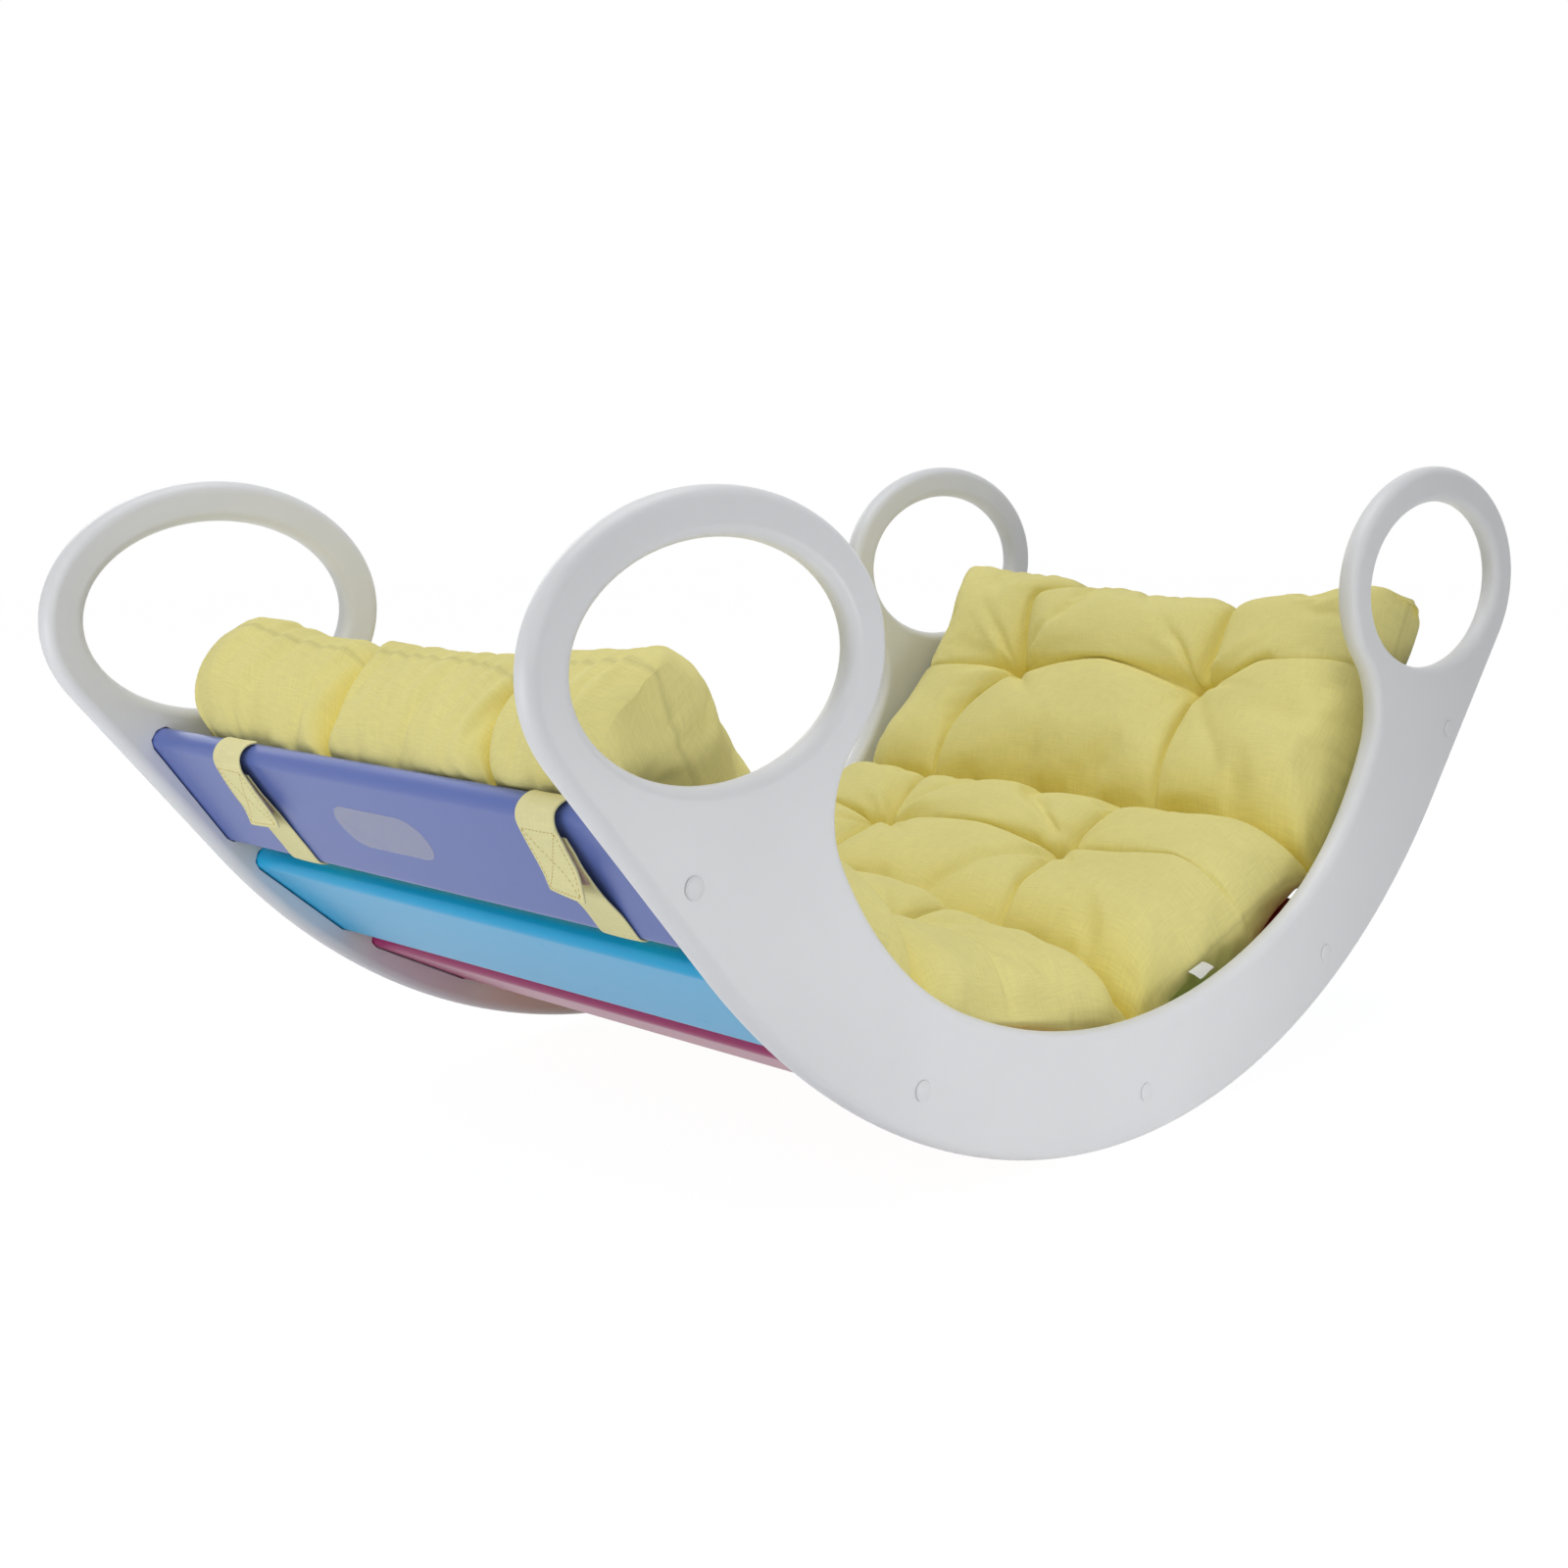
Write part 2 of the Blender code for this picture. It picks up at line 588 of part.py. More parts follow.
def beside_slat(side):
    """Turns (t, n) beside the top slat on this side into X and Z from the arch's origin."""
    out = Vector((side * math.sin(END_ANGLE), -math.cos(END_ANGLE)))
    up = Vector((side * math.cos(END_ANGLE), math.sin(END_ANGLE)))
    middle = SLAT_ARC_CENTRE + SLAT_ARC_RADIUS * out
    return lambda point: middle + point.x * up + point.y * out


def strap(side, where, places):
    """The straps round one end's top slat: fixed root and tail, and a flap that carries the hooks."""
    to_arch = beside_slat(side)

    def piece(name, outline, width, origin, colour, roughness):
        points = [to_arch(point) - to_arch(origin) for point in outline]
        finish = material(f"{name}_{where}", colour, roughness)
        return finished(f"{name}_{where}", extruded(points, width), finish)

    edge = Vector((SLAT_WIDTH / 2, 0))
    root = piece("strap_root", root_outline(), STRAP_WIDTH, edge, LEMON, 0.85)
    tail = piece("strap_tail", tail_outline(), STRAP_WIDTH, -edge, LEMON, 0.85)
    flap = piece("strap_flap", flap_outline(), STRAP_WIDTH, FOLD, LEMON, 0.85)
    hook = piece("hook_tape", hook_outline(), HOOK_WIDTH, FOLD, (0.80, 0.62, 0.56), 0.8)
    for word, y in places.items():
        for mesh, origin in ((root, edge), (tail, -edge), (flap, FOLD)):
            at = to_arch(origin)
            made = put(f"{mesh.name}_{word}", mesh, Matrix.Translation((at.x, y, at.y)))
        put(f"{hook.name}_{word}", hook, parent=made)


def build():
    for old in list(bpy.data.objects):
        bpy.data.objects.remove(old)

    slats = range(-SIDE_SLATS, SIDE_SLATS + 1)
    board = side_board_mesh()
    pocket = finished("pocket", bar(
        SLAT_WIDTH + 2 * POCKET_GAP, 2 * POCKET_DEPTH, BOARD + 2 * POCKET_GAP, SLAT_ROUND + POCKET_GAP,
    ), material("pocket", WHITE, 0.5))
    screw_way = finished("screw_way", turned(SCREW_WAY_PROFILE), material("screw_way", WHITE, 0.5))
    steel = material("connector_screw", (0.55, 0.55, 0.53), 0.35, 1.0)
    screw = finished("connector_screw", turned(SCREW_PROFILE), steel)
    cap = finished("screw_cap", turned(CAP_PROFILE), material("screw_cap", WHITE, 0.3))

    screw_ways = []
    for word, y_side in (("front", -1), ("rear", 1)):
        middle = Matrix.Translation((0, y_side * (CLEAR_WIDTH + BOARD) / 2, 0))
        made = put(f"side_board_{word}", board, middle)
        inner_face = Matrix.Translation((0, y_side * CLEAR_WIDTH / 2, 0))
        cut(made, put_cutter(f"pockets_{word}", pocket, [inner_face @ slat_place(k) for k in slats]))
        places = [screw_place(k, y_side) for k in FASTENED]
        screw_ways.append(put_cutter(f"screw_ways_{word}", screw_way, places))
        cut(made, screw_ways[-1])
        for i, place in enumerate(places):
            put(f"connector_screw_{word}_{i + 1}", screw, place)
            put(f"screw_cap_{word}_{i + 1}", cap, place)

    for k in slats:
        name = f"slat_{k + SIDE_SLATS + 1}"
        colour = SLAT_COLOURS[(k + len(SLAT_COLOURS) // 2) % len(SLAT_COLOURS)]
        slat = bar(SLAT_WIDTH, CLEAR_WIDTH + 2 * (POCKET_DEPTH - TOUCH), BOARD, SLAT_ROUND)
        made = put(name, finished(name, slat, material(name, colour, 0.35)), slat_place(k))
        if k in FASTENED:
            for ways in screw_ways:
                cut(made, ways)

    end = END_ANGLE + SLAT_HALF_ANGLE + MATTRESS_OVERHANG / SLAT_ARC_RADIUS
    seam = MATTRESS_SLIDE / SLAT_ARC_RADIUS
    seat_pad = SEAT_PAD_LENGTH / SLAT_ARC_RADIUS
    seams = [-end, seam - seat_pad, seam, seam + seat_pad, end]
    for i, free_end in enumerate((-1, 0, 0, 1)):
        mattress_pad(f"mattress_pad_{i + 1}", seams[i], seams[i + 1], free_end)
    care_tag(seams[2], seams[3])

    strap_places = {
        "front": STRAP_SHIFT - STRAP_SPACING / 2,
        "rear": STRAP_SHIFT + STRAP_SPACING / 2,
    }
    strap(-1, "left", strap_places)
    strap(1, "right", strap_places)


build()
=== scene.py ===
"""Looks of a rocking climbing arch with a tufted mattress: finishes, soft goods, light and camera.

Metres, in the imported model's frame: +Z up, X along the arch and Y across it, front board at -Y.
"""
import math

import bmesh
import bpy
from mathutils import Matrix, Vector, noise


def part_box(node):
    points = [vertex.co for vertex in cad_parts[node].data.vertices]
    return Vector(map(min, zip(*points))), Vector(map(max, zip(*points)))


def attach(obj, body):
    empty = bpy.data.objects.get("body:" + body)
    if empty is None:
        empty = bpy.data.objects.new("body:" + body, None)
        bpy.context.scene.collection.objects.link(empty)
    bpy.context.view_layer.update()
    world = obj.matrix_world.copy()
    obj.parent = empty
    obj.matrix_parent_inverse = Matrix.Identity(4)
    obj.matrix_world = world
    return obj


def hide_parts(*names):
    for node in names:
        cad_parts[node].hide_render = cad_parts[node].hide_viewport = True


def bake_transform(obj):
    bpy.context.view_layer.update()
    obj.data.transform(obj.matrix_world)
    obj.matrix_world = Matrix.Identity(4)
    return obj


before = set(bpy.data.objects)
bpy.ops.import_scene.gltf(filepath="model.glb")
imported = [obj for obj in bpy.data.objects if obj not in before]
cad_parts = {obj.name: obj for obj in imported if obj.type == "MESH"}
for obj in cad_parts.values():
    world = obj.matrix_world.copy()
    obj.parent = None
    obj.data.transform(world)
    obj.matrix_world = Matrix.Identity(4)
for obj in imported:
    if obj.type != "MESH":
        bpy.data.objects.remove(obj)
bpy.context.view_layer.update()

# Side boards. Each is cut from 18 mm board, with every edge run round with an 8 mm round-over
# cutter, then sprayed with satin white lacquer. Pockets in its inner face take the slats' ends.
BOARD_ROUND = 0.008
ROUND_STEPS = 6
CURVE_STEPS = 4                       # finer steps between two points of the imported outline
OUTLINE_LENGTH = 0.3                  # the board's own loops are longer than this, and pockets shorter
POCKET_FLOOR = 0.0003                 # a slat's end to the bottom of its pocket
POCKET_EASE = (1.010, 1, 1.06)        # a pocket's worn mouth, along and through its slat
POCKET_START = 0.002                  # a pocket's cutter stands this proud of the board's face
POCKET_ARC_TOP = 0.5786               # height of the middle that the pockets lie round
WHITE_LACQUER = (0.83, 0.84, 0.86)


def shader_group(name, inputs):
    """A shader node group with its own inputs, for a colour, a roughness and a height."""
    group = bpy.data.node_groups.new(name, "ShaderNodeTree")
    for label, kind, value in inputs:
        socket = group.interface.new_socket(label, in_out="INPUT", socket_type=f"NodeSocket{kind}")
        socket.default_value = value
    for label, kind in (("Colour", "Color"), ("Roughness", "Float"), ("Height", "Float")):
        group.interface.new_socket(label, in_out="OUTPUT", socket_type=f"NodeSocket{kind}")
    group.nodes.new("NodeGroupInput").name = "In"
    group.nodes.new("NodeGroupOutput").name = "Out"
    return group


def closed(group, colour, roughness, height):
    """Wires a group's results to its outputs."""
    for label, result in (("Colour", colour), ("Roughness", roughness), ("Height", height)):
        group.links.new(result, group.nodes["Out"].inputs[label])
    return group


def node(tree, kind, values=(), links=(), **settings):
    """A node with its settings, constant inputs and links, both given by input name or number."""
    made = tree.nodes.new(kind)
    for key, value in settings.items():
        setattr(made, key, value)
    for key, value in dict(values).items():
        made.inputs[key].default_value = value
    for key, source in dict(links).items():
        tree.links.new(source, made.inputs[key])
    return made


def calculated(tree, kind, operation, *terms):
    """The result of a Math or VectorMath node, with sockets or constants for its terms."""
    made = node(tree, f"ShaderNode{kind}", operation=operation)
    for socket, term in zip(made.inputs, terms):
        if isinstance(term, bpy.types.NodeSocket):
            tree.links.new(term, socket)
        else:
            socket.default_value = term
    return made.outputs[0]


def mottle(tree, place, scale, detail, **values):
    """A noise's value at a place."""
    values = {"Scale": scale, "Detail": detail, **values}
    return node(tree, "ShaderNodeTexNoise", values, {"Vector": place}).outputs["Fac"]


def ranged(tree, value, low, high, start=0.0, stop=1.0):
    """A value taken from start and stop to low and high."""
    limits = {"From Min": start, "From Max": stop, "To Min": low, "To Max": high}
    return node(tree, "ShaderNodeMapRange", limits, {"Value": value}).outputs[0]


def object_place(tree):
    return node(tree, "ShaderNodeTexCoord").outputs["Object"]


def sprayed_lacquer():
    """Satin lacquer: a faint mist of tone, orange peel, and rubbed spots where hands pass."""
    group = shader_group(
        "sprayed_lacquer", [("Colour", "Color", (0.8, 0.8, 0.8, 1)), ("Gloss Roughness", "Float", 0.34)],
    )
    source = group.nodes["In"].outputs
    place = object_place(group)
    mist = mottle(group, place, 7.0, 3.0)
    tone = ranged(group, mist, 0.965, 1.0, 0.3, 0.7)
    rubbed = ranged(group, mottle(group, place, 38.0, 5.0, Roughness=0.7), 0.0, 1.0, 0.60, 0.78)
    shaded = calculated(group, "VectorMath", "MULTIPLY", source["Colour"], tone)
    rough = calculated(group, "Math", "MULTIPLY_ADD", rubbed, 0.10, source["Gloss Roughness"])
    sag = calculated(group, "Math", "MULTIPLY_ADD", mist, 1.6, mottle(group, place, 420.0, 2.0))
    return closed(group, shaded, rough, sag)


LACQUER = sprayed_lacquer()


def finish(name, group, inputs, bump, bump_distance, **constants):
    """A material whose colour, roughness and relief come from a group, with its own constants."""
    made = bpy.data.materials.new(name)
    made.use_nodes = True
    tree = made.node_tree
    shader = tree.nodes["Principled BSDF"]
    worked = node(tree, "ShaderNodeGroup", node_tree=group)
    for key, value in inputs.items():
        worked.inputs[key].default_value = value
    relief = node(
        tree, "ShaderNodeBump", {"Strength": bump, "Distance": bump_distance},
        {"Height": worked.outputs["Height"]},
    )
    tree.links.new(worked.outputs["Colour"], shader.inputs["Base Color"])
    tree.links.new(worked.outputs["Roughness"], shader.inputs["Roughness"])
    tree.links.new(relief.outputs["Normal"], shader.inputs["Normal"])
    for key, value in constants.items():
        shader.inputs[key.replace("_", " ")].default_value = value
    return made


def lacquered(name, colour, roughness=0.36, gloss=0.5):
    return finish(
        name, LACQUER, {"Colour": (*colour, 1), "Gloss Roughness": roughness}, 0.12, 0.0002,
        Specular_IOR_Level=gloss,
    )


def shown(name, bm, material, body, smooth=True):
    """Turns a bmesh into a finished piece that rides on a body."""
    mesh = bpy.data.meshes.new(name)
    bm.to_mesh(mesh)
    bm.free()
    made = bpy.data.objects.new(name, mesh)
    bpy.context.scene.collection.objects.link(made)
    mesh.materials.append(material)
    if smooth:
        mesh.shade_smooth()
    if body:
        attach(made, body)
    return made


def evaluated_mesh(piece):
    return bpy.data.meshes.new_from_object(piece.evaluated_get(bpy.context.evaluated_depsgraph_get()))


def finer(piece):
    """Smooths a piece by one level of subdivision, on top of the modifiers that it has."""
    smoothing = piece.modifiers.new("finer", "SUBSURF")
    smoothing.levels = smoothing.render_levels = 1
    piece.data = evaluated_mesh(piece)
    piece.modifiers.clear()


def thickened(piece, thickness):
    """Gives a cloth surface its thickness, half to each side."""
    cloth = piece.modifiers.new("cloth", "SOLIDIFY")
    cloth.thickness = thickness
    cloth.offset = 0
    finer(piece)


def laid_out(bm, place_of):
    """Gives every corner its place on the flat cloth, by where its vertex stands now."""
    uv = bm.loops.layers.uv.new("cloth")
    for face in bm.faces:
        for corner in face.loops:
            corner[uv].uv = place_of(corner.vert.co)


def cut_away(piece, cutter):
    """Cuts one piece with another, which is used up."""
    modifier = piece.modifiers.new("cut", "BOOLEAN")
    modifier.object = cutter
    modifier.solver = "EXACT"
    piece.data = evaluated_mesh(piece)
    piece.modifiers.clear()
    bpy.data.objects.remove(cutter)


def face_loops(cad_node, level):
    """Closed loops of points round the flat face of a CAD board that lies at this level across."""
    bm = bmesh.new()
    bm.from_mesh(cad_node.data)
    bmesh.ops.remove_doubles(bm, verts=bm.verts, dist=2e-5)
    away = [face for face in bm.faces if max(abs(v.co.y - level) for v in face.verts) > 1e-4]
    bmesh.ops.delete(bm, geom=away, context="FACES")
    left = {edge for edge in bm.edges if edge.is_boundary}
    loops = []
    while left:
        edge = left.pop()
        start, at = edge.verts
        loop = [at.co.copy()]
        while at != start:
            edge = next(e for e in at.link_edges if e in left)
            left.remove(edge)
            at = edge.other_vert(at)
            loop.append(at.co.copy())
        loops.append(loop)
    bm.free()
    return loops


def loop_length(loop):
    return sum((a - b).length for a, b in zip(loop, loop[1:] + loop[:1]))


def drawn_round(spline, points):
    """Fits a closed Bezier spline to a loop: round stretches stay round and straight ones straight."""
    spline.bezier_points.add(len(points) - 1)
    spline.use_cyclic_u = True
    for i, point in enumerate(points):
        before = point - points[i - 1]
        after = points[(i + 1) % len(points)] - point
        if max(before.length, after.length) > 3 * min(before.length, after.length):
            along = max(before, after, key=lambda side: side.length).normalized()
        else:
            along = (before * after.length + after * before.length).normalized()
        knot = spline.bezier_points[i]
        knot.handle_left_type = knot.handle_right_type = "FREE"
        knot.co = (point.x, point.z, 0)
        left = point - along * before.length / 3
        right = point + along * after.length / 3
        knot.handle_left = (left.x, left.z, 0)
        knot.handle_right = (right.x, right.z, 0)


def side_board(word, side):
    """A white board, drawn from its CAD board's outer face, with pockets for the slats' ends."""
    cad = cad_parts[f"side_board_{word}"]
    low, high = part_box(f"side_board_{word}")
    thickness = high[1] - low[1]
    outer, inner = (low[1], high[1]) if side < 0 else (high[1], low[1])
    curve = bpy.data.curves.new(word, "CURVE")
    curve.dimensions = "2D"
    curve.fill_mode = "BOTH"
    curve.resolution_u = CURVE_STEPS
    curve.extrude = thickness / 2 - BOARD_ROUND
    curve.bevel_depth = BOARD_ROUND
    curve.bevel_resolution = ROUND_STEPS - 1
    for loop in face_loops(cad, outer):
        if loop_length(loop) > OUTLINE_LENGTH:
            drawn_round(curve.splines.new("BEZIER"), loop)
    drawn = bpy.data.objects.new(word, curve)
    bpy.context.scene.collection.objects.link(drawn)
    bm = bmesh.new()
    bm.from_mesh(evaluated_mesh(drawn))
    bpy.data.objects.remove(drawn)
    bmesh.ops.remove_doubles(bm, verts=bm.verts, dist=1e-5)
    bmesh.ops.rotate(bm, verts=bm.verts, matrix=Matrix.Rotation(math.pi / 2, 3, "X"))
    bmesh.ops.translate(bm, verts=bm.verts, vec=(0, (low[1] + high[1]) / 2, 0))
    bmesh.ops.recalc_face_normals(bm, faces=bm.faces)
    piece = shown(f"white_board_{word}", bm, WHITE, "arch")

    pockets = bmesh.new()
    depth = abs(inner) - abs(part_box("slat_5")[0][1])
    for loop in face_loops(cad, inner):
        if loop_length(loop) < OUTLINE_LENGTH:
            face = pockets.faces.new([pockets.verts.new(point) for point in loop])
            place = Matrix.Translation(face.calc_center_median())
            place @= Matrix.Rotation(-math.atan2(place[0][3], POCKET_ARC_TOP - place[2][3]), 4, "Y")
            bmesh.ops.scale(pockets, verts=face.verts, vec=POCKET_EASE, space=place.inverted())
            grown = bmesh.ops.extrude_face_region(pockets, geom=[face])["geom"]
            ends = [item for item in grown if isinstance(item, bmesh.types.BMVert)]
            bmesh.ops.translate(pockets, verts=ends, vec=(0, side * (POCKET_FLOOR - depth), 0))
            bmesh.ops.translate(pockets, verts=face.verts, vec=(0, -side * POCKET_START, 0))
    bmesh.ops.recalc_face_normals(pockets, faces=pockets.faces)
    cut_away(piece, shown("pockets", pockets, WHITE, None, smooth=False))
    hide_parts(f"side_board_{word}")
    return piece


SIDES = {"front": -1, "rear": 1}
WHITE = lacquered("white_lacquer", WHITE_LACQUER)
boards = {word: side_board(word, side) for word, side in SIDES.items()}

# Slats. Nine planks of the same 18 mm board, rounded along their long edges and lacquered in one
# colour each before they are set into the side boards. Their ends stand in the pockets.
SLAT_ROUND = 0.008
SLAT_STEPS = 8
SLAT_FINISHES = {
    "violet_blue_paint": (0.125, 0.180, 0.500),
    "sky_blue_paint": (0.006, 0.450, 0.820),
    "magenta_paint": (0.420, 0.025, 0.150),
    "orange_paint": (0.900, 0.230, 0.030),
    "yellow_paint": (0.760, 0.500, 0.020),
    "green_paint": (0.080, 0.340, 0.060),
    "red_paint": (0.300, 0.012, 0.014),
}
SLAT_SLOTS = [
    "violet_blue_paint", "sky_blue_paint", "magenta_paint", "orange_paint", "yellow_paint",
    "green_paint", "red_paint", "sky_blue_paint", "violet_blue_paint",
]


def middle_of(name):
    low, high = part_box(name)
    return (Vector(low) + Vector(high)) / 2


lowest, highest = middle_of("slat_5"), middle_of("slat_1")
slat_lift = highest.z - lowest.z
SLAT_ARC_RADIUS = (highest.x ** 2 + slat_lift ** 2) / (2 * slat_lift)
SLAT_ARC_TOP = lowest.z + SLAT_ARC_RADIUS
SLAT_SIZE = Vector(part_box("slat_5")[1]) - Vector(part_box("slat_5")[0])
slat_paint = {slot: lacquered(slot, colour, 0.33, 0.35) for slot, colour in SLAT_FINISHES.items()}


def slat_place(number):
    """Where a slat's middle lies, and how it turns to follow the arc."""
    middle = middle_of(f"slat_{number}")
    lean = math.atan2(middle.x, SLAT_ARC_TOP - middle.z)
    return Matrix.Translation((middle.x, 0, middle.z)) @ Matrix.Rotation(-lean, 4, "Y")


def slat(number, slot):
    bm = bmesh.new()
    bmesh.ops.create_cube(bm, size=1, matrix=Matrix.Diagonal((*SLAT_SIZE, 1)))
    edges = [e for e in bm.edges if abs(e.verts[0].co.y - e.verts[1].co.y) > SLAT_SIZE.y / 2]
    bmesh.ops.bevel(
        bm, geom=edges, offset=SLAT_ROUND, offset_type="OFFSET", segments=SLAT_STEPS, profile=0.5,
        affect="EDGES", material=-1,
    )
    bm.transform(slat_place(number))
    piece = shown(f"painted_slat_{number}", bm, slat_paint[slot], "arch")
    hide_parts(f"slat_{number}")
    return piece


slats = {i + 1: slat(i + 1, slot) for i, slot in enumerate(SLAT_SLOTS)}

# Connector screws. One-piece zinc-plated screws go through each side board into the ends of every
# other slat. Their holes are drilled with a step for the head, once the boards and slats are set.
HEAD_WAY = 0.0052
SHANK_WAY = 0.0037
SCREW_REACH = 0.0532                  # the hole's end, in from the board's outer face
HEAD_SEAT = 0.0061                    # the head's underside, in from the outer face
DRILL_START = -0.004                  # the drill's start, out from the outer face
SHARP_EDGE = math.radians(40)
screwed = [number for number in slats if number % 2 == 1]


def brushed_zinc():
    group = shader_group("brushed_zinc", [("Colour", "Color", (0.6, 0.6, 0.6, 1))])
    bloom = mottle(group, object_place(group), 260.0, 4.0)
    tone = ranged(group, bloom, 0.8, 1.1)
    shaded = calculated(group, "VectorMath", "MULTIPLY", group.nodes["In"].outputs["Colour"], tone)
    return closed(group, shaded, ranged(group, bloom, 0.22, 0.42), bloom)


ZINC = finish(
    "zinc_plate", brushed_zinc(), {"Colour": (0.58, 0.58, 0.56, 1)}, 0.2, 0.0001, Metallic=1.0,
)


def turned(profile, steps, number, side, facing):
    """A turned solid on a board's outer face at a slat's end. It faces out (1) or in (-1)."""
    bm = bmesh.new()
    verts = [bm.verts.new((radius, 0, height)) for radius, height in profile]
    edges = [bm.edges.new(pair) for pair in zip(verts, verts[1:])]
    bmesh.ops.spin(
        bm, geom=verts + edges, cent=(0, 0, 0), axis=(0, 0, 1), angle=2 * math.pi, steps=steps,
        use_merge=True,
    )
    bmesh.ops.remove_doubles(bm, verts=bm.verts, dist=1e-6)
    middle = middle_of(f"slat_{number}")
    face = abs(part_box("side_board_front")[0][1])
    turn = Matrix.Rotation(-facing * side * math.pi / 2, 4, "X")
    bm.transform(Matrix.Translation((middle.x, side * face, middle.z)) @ turn)
    bmesh.ops.recalc_face_normals(bm, faces=bm.faces)
    return bm


def screw_way(number, side):
    """The stepped hole for one screw, as a turned cutter."""
    profile = [
        (0, DRILL_START), (HEAD_WAY, DRILL_START), (HEAD_WAY, HEAD_SEAT), (SHANK_WAY, HEAD_SEAT),
        (SHANK_WAY, SCREW_REACH), (0, SCREW_REACH),
    ]
    return shown("screw_way", turned(profile, 24, number, side, -1), ZINC, None, smooth=False)


for word, side in SIDES.items():
    for number in screwed:
        cut_away(slats[number], screw_way(number, side))
        cut_away(boards[word], screw_way(number, side))
    for i in range(len(screwed)):
        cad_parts[f"connector_screw_{word}_{i + 1}"].material_slots[0].material = ZINC

for piece in (*boards.values(), *slats.values()):
    piece.data.shade_smooth()
    piece.data.set_sharp_from_angle(angle=SHARP_EDGE)
    keep_flats = piece.modifiers.new("even_shading", "WEIGHTED_NORMAL")
    keep_flats.keep_sharp = True
    keep_flats.weight = 90

# Cover caps. Small domed caps of white plastic, pressed over the screw heads. A thin parting line
# runs round each, and the dome stands just proud of the board.
CAP_RADIUS = 0.0070
CAP_HEIGHT = 0.0018
CAP_RIM = 0.0009
CAP_GAP = 0.0003
CAP_STEM = 0.0049
CAP_DEPTH = 0.0025
CAP_EDGE = math.radians(50)
DOME_STEPS = 6


def moulded_plastic():
    group = shader_group("moulded_plastic", [("Colour", "Color", (0.8, 0.8, 0.8, 1))])
    place = object_place(group)
    flow = mottle(group, place, 90.0, 3.0)
    tone = ranged(group, flow, 0.94, 1.0)
    shaded = calculated(group, "VectorMath", "MULTIPLY", group.nodes["In"].outputs["Colour"], tone)
    return closed(group, shaded, ranged(group, flow, 0.30, 0.46), mottle(group, place, 1500.0, 2.0))


CAP_PLASTIC = finish(
    "cap_plastic", moulded_plastic(), {"Colour": (0.82, 0.83, 0.85, 1)}, 0.1, 0.0001,
)


def cover_cap(name, number, side):
    profile = [
        (CAP_RADIUS * math.sin(turn), CAP_RIM + (CAP_HEIGHT - CAP_RIM) * math.cos(turn))
        for turn in (math.pi / 2 * i / DOME_STEPS for i in range(DOME_STEPS + 1))
    ]
    profile += [(CAP_RADIUS, CAP_GAP), (CAP_STEM, CAP_GAP), (CAP_STEM, -CAP_DEPTH), (0, -CAP_DEPTH)]
    piece = shown(f"cover_{name}", turned(profile, 40, number, side, 1), CAP_PLASTIC, "arch")
    piece.data.set_sharp_from_angle(angle=CAP_EDGE)
    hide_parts(name)


for word, side in SIDES.items():
    for i, number in enumerate(screwed):
        cover_cap(f"screw_cap_{word}_{i + 1}", number, side)

# Clear label. An empty film with round ends on the top slat's outer face, at the mattress's left end.
FILM_LENGTH = 0.100
FILM_HEIGHT = 0.038
FILM_THICKNESS = 0.00015
FILM_LIFT = 0.00005                   # glue under it
FILM_ACROSS = 0.012                   # its middle, towards the rear board
FILM_DOWN = -0.002                    # below the slat's middle line
END_STEPS = 24                        # round each end
film = bpy.data.materials.new("clear_film")
film.use_nodes = True
film_tree = film.node_tree
film_inputs = film_tree.nodes["Principled BSDF"].inputs
film_inputs["Base Color"].default_value = (0.70, 0.70, 0.76, 1)
film_inputs["Coat Weight"].default_value = 0.5
film_haze = mottle(film_tree, object_place(film_tree), 60.0, 3.0)
film_tree.links.new(ranged(film_tree, film_haze, 0.16, 0.30), film_inputs["Alpha"])
film_tree.links.new(ranged(film_tree, film_haze, 0.14, 0.30), film_inputs["Roughness"])

bm = bmesh.new()
film_edge = []
for end in (1, -1):
    for i in range(END_STEPS + 1):
        turn = math.pi * (i / END_STEPS - 0.5)
        across = end * ((FILM_LENGTH - FILM_HEIGHT) / 2 + FILM_HEIGHT / 2 * math.cos(turn))
        film_edge.append(bm.verts.new((end * FILM_HEIGHT / 2 * math.sin(turn), across, -FILM_THICKNESS / 2)))
lifted = bmesh.ops.extrude_face_region(bm, geom=[bm.faces.new(film_edge)])["geom"]
for item in lifted:
    if isinstance(item, bmesh.types.BMVert):
        item.co.z += FILM_THICKNESS
bmesh.ops.recalc_face_normals(bm, faces=bm.faces)
on_face = Matrix.Translation((FILM_DOWN, FILM_ACROSS, -(SLAT_SIZE.z + FILM_THICKNESS) / 2 - FILM_LIFT))
bm.transform(slat_place(1) @ on_face)
label = shown("clear_label", bm, film, "arch", smooth=False)

# Mattress. Four pads of lemon cotton sewn edge to edge and stuffed with fibre, each drawn down by
# two tufts that fold it into six pillows. One plain seam joins the top cloth to the underside all
# round. The stuffing's pressure is simulated, with the seams and tufts held.
MATTRESS_END = math.radians(65.0)     # corners of the free ends, round the slats' arc
TOP_SLAT_EDGE = math.radians(58.4)    # beyond it the underside hangs free
FOLD_SEAM = 0.016
SIDE_SEAM = 0.044
END_SEAM = 0.050
CROWN_REACH = 0.072                   # from the seams across the mattress
SIDE_REACH = 0.052                    # and from the seams along its sides
SIDE_DRAW = 0.007
END_DRAW = 0.030
END_CORNER = 0.014                    # how much further the free ends' corners are drawn in
SIDE_UNDERCUT = 0.030                 # how far the underside lies in from the seam
FOLD_UNDERCUT = 0.006
END_UNDERCUT = 0.044
CORNER_UNDERCUT = 0.030               # and how much more at the corners of a free end
TUFT_REACH = 0.056
